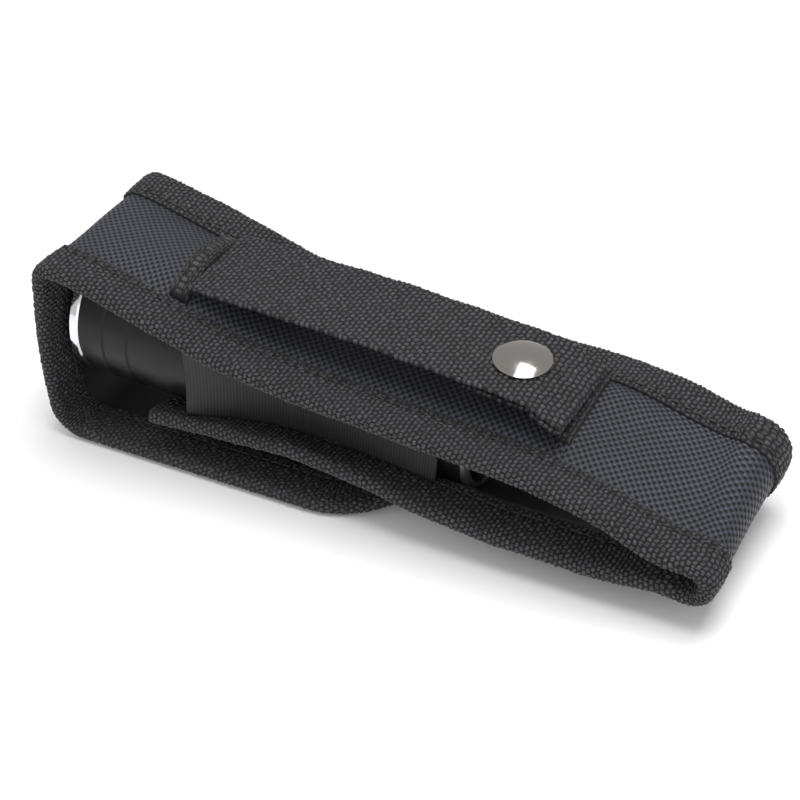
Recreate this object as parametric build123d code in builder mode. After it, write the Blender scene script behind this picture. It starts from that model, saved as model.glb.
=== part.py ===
"""Tactical flashlight stowed in its nylon belt holster, as separate pieces.

Row frame: +X from the lamp head to the bottom of the pouch, +Y across the holster,
+Z up. The closed flap lies flat on Z = 0 and the torch is tipped slightly tail-down.

Most shapes are written in torch coordinates: u runs along the torch axis from the
rear edge of the bezel ring, w is the height above the axis and y is across.
"""
from build123d import *
from math import cos, pi, radians, sin, tan
import os

os.makedirs("parts", exist_ok=True)

# ---------------------------------------------------------------- torch frame
TILT = 6.4                  # degrees the torch dips towards its tail
AXIS_HEIGHT = 30.5          # torch axis above the table at the bezel ring
RING_X = -81.6              # bezel ring's rear edge along the row's X

along = (cos(radians(TILT)), 0, -sin(radians(TILT)))
upward = (sin(radians(TILT)), 0, cos(radians(TILT)))
side = Plane(origin=(RING_X, 0, AXIS_HEIGHT), x_dir=along, z_dir=(0, -1, 0))
torch_axis = Axis(side.origin, along)
ACROSS = (0, 1, 0)

# -------------------------------------------------------- holster strip (mm)
STRIP_HALF = 25.0           # half width of the bound strip
TAPE = 0.8                  # binding tape thickness
SHELL = 0.7                 # outer ballistic cloth
FOAM = 1.1                  # padding
LINING = 0.4                # inner cloth
SHOULDER = 13.5             # |y| of the binding tape's inner edges
CORE_HALF = STRIP_HALF - TAPE
SHELL_TOP = TAPE
FOAM_TOP = SHELL_TOP + SHELL
LINING_TOP = FOAM_TOP + FOAM
CORE_BOTTOM = LINING_TOP + LINING
STRIP_THICK = CORE_BOTTOM + TAPE

# Stations of the back panel: u, then the tape-top height at the centre line,
# at the shoulders and at the edges, and how much higher the far side stands.
# The panel is crowned over the lamp head.
FAR_RISE = 6.0              # at the bottom fold
BACK = [
    (-1, 24.5, 24.4, 24.46, 0),
    (16, 24.2, 21.4, 22.0, 0),
    (32, 22.6, 18.2, 18.4, 0),
    (44, 18.6, 15.6, 15.6, 0),
    (58, 17.4, 14.6, 14.8, 0),
    (95, 17.4, 14.4, 15.0, 0),
    (128, 17.2, 14.6, 15.4, FAR_RISE / 3),
    (146, 13.2, 12.4, 13.4, FAR_RISE * 2 / 3),
    (164, 8.16, 8.1, 8.14, FAR_RISE),
]
# Stations of the front panel: the same, for its inner (upper) face.
FRONT = [
    (24, -19.6, -14.6, -10.6, 0),
    (34, -19.4, -14.2, -8.6, 0),
    (46, -15.6, -10.8, -6.8, 0),
    (60, -13.2, -8.8, -4.4, 0),
    (84, -12.5, -6.5, -4.0, 0),
    (94, -13.1, -5.7, -4.8, 0),
    (101, -13.6, -5.3, -5.4, 0),
    (120, -13.6, -5.0, -6.0, 0),
    (138, -9.8, -3.4, -4.2, 0),
    (152, -5.0, -2.2, -2.6, 0),
    (164, -0.24, -0.3, -0.26, 0),
]
FOLD_START = 164.0          # u where the panels meet the bottom fold
FOLD_CENTRE = (169.5, 2.0)
FOLD_RADIUS = 6.1
MOUTH_TAPE_END = 34.0       # u where the mouth binding's legs end
MOUTH_EDGE = FRONT[0][0]

# ------------------------------------------------------------------ flap (mm)
FLAP_HINGE_U = -1.0         # top fold line
WALL_TOP_CORNER = (-8.4, 24.4)
WALL_TOP_RADIUS = 6.0
WALL_FOOT_U = -9.4
WALL_FOOT_RADIUS = 9.0
FLAP_START_U = 1.0          # bottom fold line
FLAP_LENGTH = 94.0          # from the bottom fold line to the tip
FLAP_TIP_RADIUS = 24.0
FLAP_TAPE_WIDTH = 11.5

# ------------------------------------------------------------- belt loop (mm)
STRAP_HALF = 12.8
WEBBING = 1.5
HEM_START, HEM_END = 25.5, 30.5
STRAP_LINE = [(30.9, 23.8), (52, 25.2), (78, 26.6), (122, 26.6), (131.4, 21.6)]
BASE_LINE = [(104, 20.3), (121, 20.3), (126.5, 19.3), (130.0, 18.7)]
BASE_HALF = 8.0             # the webbing under the snap is narrower
BASE_FOOT = (129.5, 132.8)  # its sewn end, as wide as the strap
STRAP_END_HEM = 7.0
SNAP_U = 115.7
SNAP_RADIUS = 7.0
CAP_RISE, CAP_RIM = 1.9, 0.6
SOCKET_RADIUS, SOCKET_DEPTH, SOCKET_PLAY = 6.0, 2.6, 0.4
STUD_KNOB, STUD_FLANGE, FLANGE_THICK, KNOB_PLAY = 2.0, 5.0, 0.8, 0.5
POST_RADIUS, POST_HOLE, POST_FLANGE = 1.4, 1.5, 4.5

# ----------------------------------------------------------- side elastic (mm)
ELASTIC_PLAN = [(34, 21.4), (47, 16.6), (99, 16.0)]
ELASTIC_THICK = 1.0

# -------------------------------------------------------- hook and loop (mm)
PATCH_START, PATCH_END = 56.0, 80.0
PATCH_HALF = 10.0
PATCH_CORNER = 1.5
LOOP_THICK = 1.0
HOOK_THICK = 1.2

# ----------------------------------------------------------------- torch (mm)
RING_RADIUS = 20.0
RING_FRONT = -3.0
HEAD_STEPS = [(0.0, 19.6), (7.2, 19.2), (14.4, 18.8)]
HEAD_TAPER_START, HEAD_END = 33.0, 46.0
BARREL_RADIUS = 12.8
BARREL_FRONT, BARREL_REAR = 14.0, 98.8
CELL_RADIUS, CELL_START, CELL_LENGTH = 9.2, 29.0, 65.0
TAIL_RADIUS = 13.5
TAIL_FRONT, TAIL_FACE = 94.0, 109.0
THREAD_RADIUS = 12.15
CLEARANCE = 0.1
RIM_FIT = 0.02              # press fit of the tail cap's bright ring
PLUNGER_PLAY = 0.15


# ------------------------------------------------------------------- helpers
def section(u):
    """Plane square to the torch axis at u, with local x across and y upward."""
    return Plane(origin=side.from_local_coords((u, 0, 0)), x_dir=(0, 1, 0), z_dir=along)


def level(w):
    """Plane at height w above the torch axis, with local x along the torch."""
    return Plane(origin=side.from_local_coords((0, w, 0)), x_dir=along, z_dir=upward)


def table_w(u):
    """Height of the table under the torch axis."""
    return -AXIS_HEIGHT / cos(radians(TILT)) + u * tan(radians(TILT))


def far_share(y):
    """Part of the far side's extra height found at a place across the strip."""
    return min(max((y + SHOULDER) / (2 * SHOULDER), 0), 1)


def height(station, y):
    """Height of a panel's face at a place across the strip."""
    _, centre, shoulder, edge, far_rise = station
    rise = far_rise * far_share(y)
    y = abs(y)
    if y <= SHOULDER:
        return rise + centre + (shoulder - centre) * (y / SHOULDER) ** 2
    return rise + shoulder + (edge - shoulder) * (y - SHOULDER) / (STRIP_HALF - SHOULDER)


def station_at(stations, u):
    """Station between two listed ones."""
    for low, high in zip(stations, stations[1:]):
        if low[0] <= u <= high[0]:
            t = (u - low[0]) / (high[0] - low[0])
            return tuple(a + t * (b - a) for a, b in zip(low, high))
    raise ValueError("u is outside the panel")


def span(stations, start, end):
    """The stations between two places, both ends included."""
    inner = [s for s in stations if start < s[0] < end]
    return [station_at(stations, start), *inner, station_at(stations, end)]


def slices(stations, top, bottom, ys):
    """Cross-sections of a layer between two depths below the panel's face."""
    faces = []
    for station in stations:
        upper = [(y, height(station, y) - top) for y in ys]
        lower = [(y, height(station, y) - bottom) for y in reversed(ys)]
        with BuildLine(section(station[0])) as outline:
            Polyline(*upper, *lower, close=True)
        faces.append(Face(outline.wire()))
    return faces


def across(reach):
    """Points across the strip where a layer's outline may bend."""
    inner = [SHOULDER * k / 3 for k in range(3) if SHOULDER * k / 3 < reach]
    half = inner + ([SHOULDER, reach] if reach > SHOULDER else [reach])
    return [-y for y in reversed(half[1:])] + half


def fold_face(y, top, bottom):
    """Section of the bottom fold between two depths below its outer surface."""
    growth = FAR_RISE / 2 * far_share(y)
    cx, cz = FOLD_CENTRE[0] - growth, FOLD_CENTRE[1] + growth
    outer, inner = FOLD_RADIUS + growth - top, FOLD_RADIUS + growth - bottom
    with BuildSketch(side_at(y)) as fold:
        with BuildLine():
            Line((FOLD_START, cz - outer), (cx, cz - outer))
            CenterArc((cx, cz), outer, -90, 180)
            Polyline((cx, cz + outer), (FOLD_START, cz + outer), (FOLD_START, cz + inner))
            Line((FOLD_START, cz + inner), (cx, cz + inner))
            CenterArc((cx, cz), inner, -90, 180)
            Polyline((cx, cz - inner), (FOLD_START, cz - inner), (FOLD_START, cz - outer))
        make_face()
    return fold.sketch.face()


def fold_band(ys, top, bottom):
    """Sections of the bottom fold at places across the strip, low y to high y."""
    return [fold_face(y, top, bottom) for y in ys]


def side_at(y):
    """The side plane moved to a place across the strip."""
    return Plane(side.from_local_coords((0, 0, -y)), side.x_dir, side.z_dir)


def ring_profile(points):
    """Closed outline in the side plane, for a turned part."""
    with BuildSketch(side) as outline:
        with BuildLine():
            Polyline(*points, close=True)
        make_face()
    return outline.sketch


def finish(builder, name):
    """Label a finished piece and write it to its own file."""
    builder.part.label = name
    export_step(builder.part, f"parts/{name}.step")


# --------------------------------------------------------------- back panel
core_ys = across(CORE_HALF)
fold_ys = (-CORE_HALF, -SHOULDER, SHOULDER, CORE_HALF)
for name, top, bottom in (
    ("back_shell", SHELL_TOP, FOAM_TOP),
    ("back_foam", FOAM_TOP, LINING_TOP),
    ("back_lining", LINING_TOP, CORE_BOTTOM),
):
    with BuildPart() as back_layer:
        loft(slices(BACK, top, bottom, core_ys), ruled=True)
        loft(fold_band(fold_ys, top, bottom), ruled=True)
    finish(back_layer, name)

# -------------------------------------------------------------- front panel
for name, top, bottom in (
    ("front_lining", TAPE, TAPE + LINING),
    ("front_foam", TAPE + LINING, TAPE + LINING + FOAM),
    ("front_shell", TAPE + LINING + FOAM, CORE_BOTTOM),
):
    with BuildPart() as front_layer:
        loft(slices(FRONT, top, bottom, core_ys), ruled=True)
    finish(front_layer, name)


# ------------------------------------------------------------ edge bindings
def binding_ys(sign, reach):
    """Edge-tape points across one side of the strip, from low y to high y."""
    return sorted((sign * SHOULDER, sign * reach))


for name, sign in (("near_edge_binding", -1), ("far_edge_binding", 1)):
    tape_ys = binding_ys(sign, STRIP_HALF)
    with BuildPart() as edge_binding:
        loft(slices(BACK, 0, STRIP_THICK, tape_ys), ruled=True)
        loft(slices(FRONT, 0, STRIP_THICK, tape_ys), ruled=True)
        loft(fold_band(tape_ys, 0, STRIP_THICK), ruled=True)
        core = binding_ys(sign, CORE_HALF)
        loft(slices(BACK, TAPE, CORE_BOTTOM, core), ruled=True, mode=Mode.SUBTRACT)
        loft(slices(FRONT, TAPE, CORE_BOTTOM, core), ruled=True, mode=Mode.SUBTRACT)
        loft(fold_band(core, TAPE, CORE_BOTTOM), ruled=True, mode=Mode.SUBTRACT)
    finish(edge_binding, name)

# ------------------------------------------------------------ mouth binding
mouth = span(FRONT, MOUTH_EDGE, MOUTH_TAPE_END)
nose = (MOUTH_EDGE - TAPE, *mouth[0][1:])
mouth_ys = across(SHOULDER)
with BuildPart() as mouth_binding:
    loft(slices([nose, *mouth], 0, STRIP_THICK, mouth_ys), ruled=True)
    loft(slices(mouth, TAPE, CORE_BOTTOM, mouth_ys), ruled=True, mode=Mode.SUBTRACT)
finish(mouth_binding, "mouth_binding")

# ------------------------------------------------------------- side elastic
FAR_ABOVE, FAR_BELOW = -30.0, 30.0
for name, sign in (("near_elastic", -1), ("far_elastic", 1)):
    plan = [(u, sign * y) for u, y in ELASTIC_PLAN]
    inner_plan = [(u, y - sign * ELASTIC_THICK) for u, y in reversed(plan)]
    above = slices(BACK, FAR_ABOVE, STRIP_THICK, across(STRIP_HALF))
    below = slices(FRONT, 0, FAR_BELOW, across(STRIP_HALF))
    with BuildPart() as elastic:
        with BuildSketch(level(0)):
            with BuildLine():
                Polyline(*plan, *inner_plan, close=True)
            make_face()
        extrude(amount=STRIP_HALF, both=True)
        loft(above, ruled=True, mode=Mode.SUBTRACT)
        loft(below, ruled=True, mode=Mode.SUBTRACT)
    finish(elastic, name)

# --------------------------------------------------------- loop patch on pouch
with BuildPart() as pouch_loop_patch:
    patch = span(FRONT, PATCH_START, PATCH_END)
    loft(slices(patch, CORE_BOTTOM, CORE_BOTTOM + LOOP_THICK, across(PATCH_HALF)), ruled=True)
finish(pouch_loop_patch, "pouch_loop_patch")


# ------------------------------------------------------------- flap end wall
def inset(corners, depth):
    """The same open outline moved to its left by a depth."""
    points = [Vector(*corner) for corner in corners]
    runs = [(b - a).normalized() for a, b in zip(points, points[1:])]
    sides = [Vector(-run.Y, run.X) * depth for run in runs]
    moved = [points[0] + sides[0]]
    for point, r0, r1, s0, s1 in zip(points[1:], runs, runs[1:], sides, sides[1:]):
        gap = s1 - s0
        reach = (gap.X * r1.Y - gap.Y * r1.X) / (r0.X * r1.Y - r0.Y * r1.X)
        moved.append(point + s0 + r0 * reach)
    return [*moved, points[-1] + sides[-1]]


def wall_face(y, start, stop):
    """Face between two depths inside the end wall's outer line."""
    foot = (WALL_FOOT_U, table_w(WALL_FOOT_U))
    end = (FLAP_START_U, table_w(FLAP_START_U))
    corners = [(FLAP_HINGE_U, WALL_TOP_CORNER[1]), WALL_TOP_CORNER, foot, end]
    radii = (WALL_TOP_RADIUS, WALL_FOOT_RADIUS)
    with BuildSketch(side_at(y)) as wall_band:
        with BuildLine():
            outer = FilletPolyline(*inset(corners, start), radius=[r - start for r in radii])
            inner = FilletPolyline(*inset(corners, stop), radius=[r - stop for r in radii])
            Line(outer @ 0, inner @ 0)
            Line(outer @ 1, inner @ 1)
        make_face()
    return wall_band.sketch


for name, top, bottom in (
    ("end_wall_shell", SHELL_TOP, FOAM_TOP),
    ("end_wall_foam", FOAM_TOP, LINING_TOP),
    ("end_wall_lining", LINING_TOP, CORE_BOTTOM),
):
    with BuildPart() as wall_layer:
        wall = wall_face(-CORE_HALF, top, bottom)
        extrude(wall, amount=2 * CORE_HALF, dir=ACROSS)
    finish(wall_layer, name)

for name, sign in (("end_wall_near_binding", -1), ("end_wall_far_binding", 1)):
    tape_ys = binding_ys(sign, STRIP_HALF)
    core = binding_ys(sign, CORE_HALF)
    with BuildPart() as wall_binding:
        wall = wall_face(tape_ys[0], 0, STRIP_THICK)
        extrude(wall, amount=STRIP_HALF - SHOULDER, dir=ACROSS)
        wall_core = wall_face(core[0], TAPE, CORE_BOTTOM)
        extrude(wall_core, amount=CORE_HALF - SHOULDER, dir=ACROSS, mode=Mode.SUBTRACT)
    finish(wall_binding, name)

# --------------------------------------------------------------- front flap
# The flap lies flat on the table, so it is drawn in the row's own XY plane.
flap_start = side.from_local_coords((FLAP_START_U, table_w(FLAP_START_U), 0)).X


def flap_outline(margin):
    """Plan of the flap with its edges moved in by a margin."""
    length = FLAP_LENGTH - margin
    half = STRIP_HALF - margin
    radius = FLAP_TIP_RADIUS - margin
    with BuildSketch(Plane.XY) as plan:
        with Locations((flap_start + length / 2, 0)):
            Rectangle(length, 2 * half)
        fillet(plan.vertices().group_by(Axis.X)[-1], radius=radius)
    return plan.sketch


for name, top, bottom in (
    ("flap_shell", TAPE, TAPE + SHELL),
    ("flap_foam", TAPE + SHELL, TAPE + SHELL + FOAM),
    ("flap_lining", TAPE + SHELL + FOAM, CORE_BOTTOM),
):
    with BuildPart() as flap_layer:
        with BuildSketch(Plane.XY.offset(top)):
            add(flap_outline(TAPE))
        extrude(amount=bottom - top)
    finish(flap_layer, name)

with BuildPart() as flap_binding:
    with BuildSketch(Plane.XY):
        add(flap_outline(0))
        add(flap_outline(FLAP_TAPE_WIDTH), mode=Mode.SUBTRACT)
    extrude(amount=STRIP_THICK)
    with BuildSketch(Plane.XY.offset(TAPE)):
        add(flap_outline(TAPE))
    extrude(amount=CORE_BOTTOM - TAPE, mode=Mode.SUBTRACT)
finish(flap_binding, "flap_binding")

patch_u = (PATCH_START + PATCH_END) / 2
patch_x = side.from_local_coords((patch_u, table_w(patch_u), 0)).X
with BuildPart() as flap_hook_patch:
    with BuildSketch(Plane.XY.offset(CORE_BOTTOM)):
        with Locations((patch_x, 0)):
            RectangleRounded(PATCH_END - PATCH_START, 2 * PATCH_HALF, PATCH_CORNER)
    extrude(amount=HOOK_THICK)
finish(flap_hook_patch, "flap_hook_patch")

# ---------------------------------------------------------------- belt strap
def ribbon(line_points, half, start, stop):
    """Face between two depths under a bent webbing line, at the webbing's near edge."""
    upper = [(u, w - start) for u, w in line_points]
    lower = [(u, w - stop) for u, w in reversed(line_points)]
    with BuildSketch(side_at(-half)) as face:
        with BuildLine():
            Polyline(*upper, *lower, close=True)
        make_face()
    return face.sketch


def turned_up(u, low, high, radius, hole=0.0):
    """Outline of a disc standing on the webbing at u, in the side plane."""
    with BuildSketch(side) as face:
        with BuildLine():
            Polyline(
                (u + hole, low), (u + radius, low), (u + radius, high), (u + hole, high),
                close=True,
            )
        make_face()
    return face.sketch


with BuildPart() as strap_hem:
    hem = span(BACK, HEM_START, HEM_END)
    loft(slices(hem, SHELL_TOP - 2 * WEBBING, SHELL_TOP, across(STRAP_HALF)), ruled=True)
finish(strap_hem, "strap_hem")

strap_end = STRAP_LINE[-1]
strap_bend = STRAP_LINE[-2]
hem_share = STRAP_END_HEM / (strap_end[0] - strap_bend[0])
hem_top = strap_end[1] + (strap_bend[1] - strap_end[1]) * hem_share
with BuildPart() as belt_strap:
    extrude(ribbon(STRAP_LINE, STRAP_HALF, 0, WEBBING), amount=2 * STRAP_HALF, dir=ACROSS)
    folded = [(strap_end[0] - STRAP_END_HEM, hem_top), strap_end]
    turned_under = ribbon(folded, STRAP_HALF, WEBBING, 2 * WEBBING)
    extrude(turned_under, amount=2 * STRAP_HALF, dir=ACROSS)
finish(belt_strap, "belt_strap")

with BuildPart() as strap_base:
    extrude(ribbon(BASE_LINE, BASE_HALF, 0, WEBBING), amount=2 * BASE_HALF, dir=ACROSS)
    foot = span(BACK, *BASE_FOOT)
    loft(slices(foot, SHELL_TOP - WEBBING, SHELL_TOP, across(STRAP_HALF)), ruled=True)
    snap_seat = side.from_local_coords((SNAP_U, BASE_LINE[0][1], 0))
    with Locations(Plane(snap_seat, x_dir=along, z_dir=upward)):
        Cylinder(POST_HOLE, 4 * WEBBING, mode=Mode.SUBTRACT)
finish(strap_base, "strap_base")

strap_top = strap_bend[1]
base_top = BASE_LINE[0][1]
snap_axis = Axis(side.from_local_coords((SNAP_U, 0, 0)), upward)
cap_sphere = (SNAP_RADIUS ** 2 + CAP_RISE ** 2) / (2 * CAP_RISE)
with BuildPart() as snap_cap:
    with BuildSketch(side):
        with BuildLine():
            Polyline(
                (SNAP_U, strap_top),
                (SNAP_U + SNAP_RADIUS, strap_top),
                (SNAP_U + SNAP_RADIUS, strap_top + CAP_RIM),
            )
            RadiusArc(
                (SNAP_U + SNAP_RADIUS, strap_top + CAP_RIM),
                (SNAP_U, strap_top + CAP_RIM + CAP_RISE),
                -cap_sphere,
            )
            Line((SNAP_U, strap_top + CAP_RIM + CAP_RISE), (SNAP_U, strap_top))
        make_face()
    revolve(axis=snap_axis)
finish(snap_cap, "snap_cap")

socket_low = strap_top - WEBBING - SOCKET_DEPTH
with BuildPart() as snap_socket:
    socket_bore = STUD_KNOB + SOCKET_PLAY
    add(turned_up(SNAP_U, socket_low, strap_top - WEBBING, SOCKET_RADIUS, socket_bore))
    revolve(axis=snap_axis)
finish(snap_socket, "snap_socket")

knob_top = strap_top - WEBBING - KNOB_PLAY
with BuildPart() as snap_stud:
    add(turned_up(SNAP_U, base_top, base_top + FLANGE_THICK, STUD_FLANGE))
    add(turned_up(SNAP_U, base_top + FLANGE_THICK, knob_top, STUD_KNOB))
    revolve(axis=snap_axis)
finish(snap_stud, "snap_stud")

base_bottom = base_top - WEBBING
with BuildPart() as snap_post:
    add(turned_up(SNAP_U, base_bottom - FLANGE_THICK, base_bottom, POST_FLANGE))
    add(turned_up(SNAP_U, base_bottom, base_top, POST_RADIUS))
    revolve(axis=snap_axis)
finish(snap_post, "snap_post")


# --------------------------------------------------------------------- torch
def turned(points):
    """Solid turned about the torch axis from (u, radius) points."""
    with BuildPart() as piece:
        add(ring_profile(points))
        revolve(axis=torch_axis)
    return piece.part


def disc(start, end, outer, inner=0.0):
    """Points of a plain washer or disc between two places on the axis."""
    return [(start, inner), (end, inner), (end, outer), (start, outer)]


def o_ring(u, centre_radius, thickness):
    """A rubber ring round the torch axis."""
    ring_plane = Plane(side.from_local_coords((u, 0, 0)), x_dir=(0, 1, 0), z_dir=along)
    with BuildPart() as ring:
        with Locations(ring_plane):
            Torus(centre_radius, thickness / 2)
    return ring.part


def coil(start, length, radius, turns, wire):
    """A coil spring round the torch axis."""
    coil_plane = Plane(side.from_local_coords((start, 0, 0)), x_dir=(0, 1, 0), z_dir=along)
    path = coil_plane * Helix(pitch=length / turns, height=length, radius=radius)
    with BuildPart() as spring:
        with BuildSketch(Plane(origin=path @ 0, z_dir=path % 0)):
            Circle(wire / 2)
        sweep(path=path, is_frenet=True)
    return spring.part


SPIGOT_END, SPIGOT_RADIUS, SPIGOT_BORE = 4.0, 18.3, 17.5
LIP_THICK, LIP_BORE = 1.8, 16.4
FRONT_BEVEL, REAR_BEVEL = 0.7, 0.4
with BuildPart() as bezel_ring:
    add(turned([
        (RING_FRONT, LIP_BORE),
        (RING_FRONT, RING_RADIUS - FRONT_BEVEL),
        (RING_FRONT + FRONT_BEVEL, RING_RADIUS),
        (-REAR_BEVEL, RING_RADIUS),
        (0, RING_RADIUS - REAR_BEVEL),
        (0, SPIGOT_RADIUS),
        (SPIGOT_END, SPIGOT_RADIUS),
        (SPIGOT_END, SPIGOT_BORE),
        (RING_FRONT + LIP_THICK, SPIGOT_BORE),
        (RING_FRONT + LIP_THICK, LIP_BORE),
    ]))
finish(bezel_ring, "bezel_ring")

LENS_RADIUS, LENS_DOME, LENS_APEX = 17.3, 15.6, -2.0
LENS_FLANGE = (4.3, 6.3)
with BuildPart() as lens:
    with BuildSketch(side):
        with BuildLine():
            rise = LENS_FLANGE[0] - LENS_APEX
            sphere = (LENS_DOME ** 2 + rise ** 2) / (2 * rise)
            RadiusArc((LENS_APEX, 0), (LENS_FLANGE[0], LENS_DOME), sphere)
            Polyline(
                (LENS_FLANGE[0], LENS_DOME),
                (LENS_FLANGE[0], LENS_RADIUS),
                (LENS_FLANGE[1], LENS_RADIUS),
                (LENS_FLANGE[1], 0),
                (LENS_APEX, 0),
            )
        make_face()
    revolve(axis=torch_axis)
finish(lens, "lens")

LENS_SEAT, LENS_SEAL_RADIUS = 7.6, 16.6
with BuildPart() as lens_o_ring:
    seal_thick = LENS_SEAT - LENS_FLANGE[1]
    add(o_ring(LENS_FLANGE[1] + seal_thick / 2, LENS_SEAL_RADIUS, seal_thick))
finish(lens_o_ring, "lens_o_ring")

STEP_SLOPE = 0.5
FIT = 0.05                  # room between fixed turned parts
NECK_RADIUS, NECK_BORE = 14.4, BARREL_RADIUS + 0.06
NECK_LAND, NECK_BORE_LENGTH = 2.0, 10.0
HEAD_BORE, LENS_BORE = 16.0, 17.4
(ring_seat, r1), (step_1, r2), (step_2, r3) = HEAD_STEPS
with BuildPart() as head_sleeve:
    add(turned([
        (ring_seat, SPIGOT_RADIUS + FIT), (ring_seat, r1),
        (step_1, r1), (step_1 + STEP_SLOPE, r2),
        (step_2, r2), (step_2 + STEP_SLOPE, r3),
        (HEAD_TAPER_START, r3), (HEAD_END - NECK_LAND, NECK_RADIUS),
        (HEAD_END, NECK_RADIUS), (HEAD_END, NECK_BORE),
        (HEAD_END - NECK_BORE_LENGTH, NECK_BORE),
        (HEAD_TAPER_START - NECK_LAND, HEAD_BORE), (LENS_SEAT, HEAD_BORE),
        (LENS_SEAT, LENS_BORE), (SPIGOT_END + CLEARANCE, LENS_BORE),
        (SPIGOT_END + CLEARANCE, SPIGOT_RADIUS + FIT),
    ]))
finish(head_sleeve, "head_sleeve")

PILL_FRONT, PILL_REAR, PILL_RADIUS = 12.0, 25.0, 11.9
NECK_GROOVE = (40.0, 41.6)
TAIL_GROOVE = (94.4, 95.2)
NECK_GROOVE_DEPTH, TAIL_GROOVE_DEPTH = 1.1, 0.65
THREAD_START = TAIL_FRONT - 0.5
CELL_BORE = CELL_RADIUS + 0.5
with BuildPart() as barrel_tube:
    add(turned([
        (BARREL_FRONT, PILL_RADIUS), (BARREL_FRONT, BARREL_RADIUS),
        (NECK_GROOVE[0], BARREL_RADIUS), (NECK_GROOVE[0], BARREL_RADIUS - NECK_GROOVE_DEPTH),
        (NECK_GROOVE[1], BARREL_RADIUS - NECK_GROOVE_DEPTH), (NECK_GROOVE[1], BARREL_RADIUS),
        (THREAD_START, BARREL_RADIUS), (THREAD_START, THREAD_RADIUS),
        (TAIL_GROOVE[0], THREAD_RADIUS), (TAIL_GROOVE[0], THREAD_RADIUS - TAIL_GROOVE_DEPTH),
        (TAIL_GROOVE[1], THREAD_RADIUS - TAIL_GROOVE_DEPTH), (TAIL_GROOVE[1], THREAD_RADIUS),
        (BARREL_REAR, THREAD_RADIUS), (BARREL_REAR, CELL_BORE),
        (PILL_REAR, CELL_BORE), (PILL_REAR, PILL_RADIUS),
    ]))
finish(barrel_tube, "barrel_tube")

NECK_SEAL = 1.0
with BuildPart() as neck_o_ring:
    neck_seal_radius = BARREL_RADIUS - NECK_GROOVE_DEPTH + NECK_SEAL / 2
    add(o_ring(sum(NECK_GROOVE) / 2, neck_seal_radius, NECK_SEAL))
finish(neck_o_ring, "neck_o_ring")

PILL_BORE, PILL_FLOOR = 10.0, 3.0
with BuildPart() as led_pill:
    add(turned([
        (PILL_FRONT, 0), (PILL_FRONT, PILL_RADIUS), (PILL_REAR, PILL_RADIUS),
        (PILL_REAR, PILL_BORE), (PILL_FRONT + PILL_FLOOR, PILL_BORE),
        (PILL_FRONT + PILL_FLOOR, 0),
    ]))
finish(led_pill, "led_pill")

BOARD_THICK, BOARD_RADIUS = 1.6, 10.0
with BuildPart() as led_board:
    add(turned(disc(PILL_FRONT - BOARD_THICK, PILL_FRONT, BOARD_RADIUS)))
finish(led_board, "led_board")

EMITTER_HALF, EMITTER_THICK, DOME = 2.5, 0.8, 1.6
emitter_back = PILL_FRONT - BOARD_THICK
with BuildPart() as led_emitter:
    with BuildSketch(section(emitter_back)):
        Rectangle(2 * EMITTER_HALF, 2 * EMITTER_HALF)
    extrude(amount=-EMITTER_THICK)
    with BuildSketch(side):
        with Locations((emitter_back - EMITTER_THICK, 0)):
            Circle(DOME)
        with Locations((emitter_back, 0)):
            Rectangle(4 * DOME, 4 * DOME, align=(Align.CENTER, Align.MAX), mode=Mode.SUBTRACT)
            Rectangle(2 * EMITTER_THICK, 4 * DOME, mode=Mode.SUBTRACT)
    revolve(axis=torch_axis)
finish(led_emitter, "led_emitter")

DRIVER_THICK = 1.2
with BuildPart() as driver_board:
    add(turned(disc(PILL_REAR - DRIVER_THICK, PILL_REAR, PILL_BORE - CLEARANCE)))
finish(driver_board, "driver_board")

CAP_HEIGHT, CAP_RADIUS = 1.4, 2.8
FRONT_COIL_RADIUS, FRONT_TURNS, FRONT_WIRE = 3.2, 3, 0.6
with BuildPart() as front_spring:
    gap = CELL_START - CAP_HEIGHT - PILL_REAR - FRONT_WIRE - CLEARANCE
    spring_start = PILL_REAR + (FRONT_WIRE + CLEARANCE) / 2
    add(coil(spring_start, gap, FRONT_COIL_RADIUS, FRONT_TURNS, FRONT_WIRE))
finish(front_spring, "front_spring")

CELL_ROUND = 0.6
with BuildPart() as battery_cell:
    add(turned(disc(CELL_START, CELL_START + CELL_LENGTH, CELL_RADIUS)))
    edges = battery_cell.edges().filter_by(GeomType.CIRCLE)
    fillet(edges, radius=CELL_ROUND)
finish(battery_cell, "battery_cell")

with BuildPart() as battery_cap:
    add(turned(disc(CELL_START - CAP_HEIGHT, CELL_START, CAP_RADIUS)))
finish(battery_cap, "battery_cap")

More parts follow.
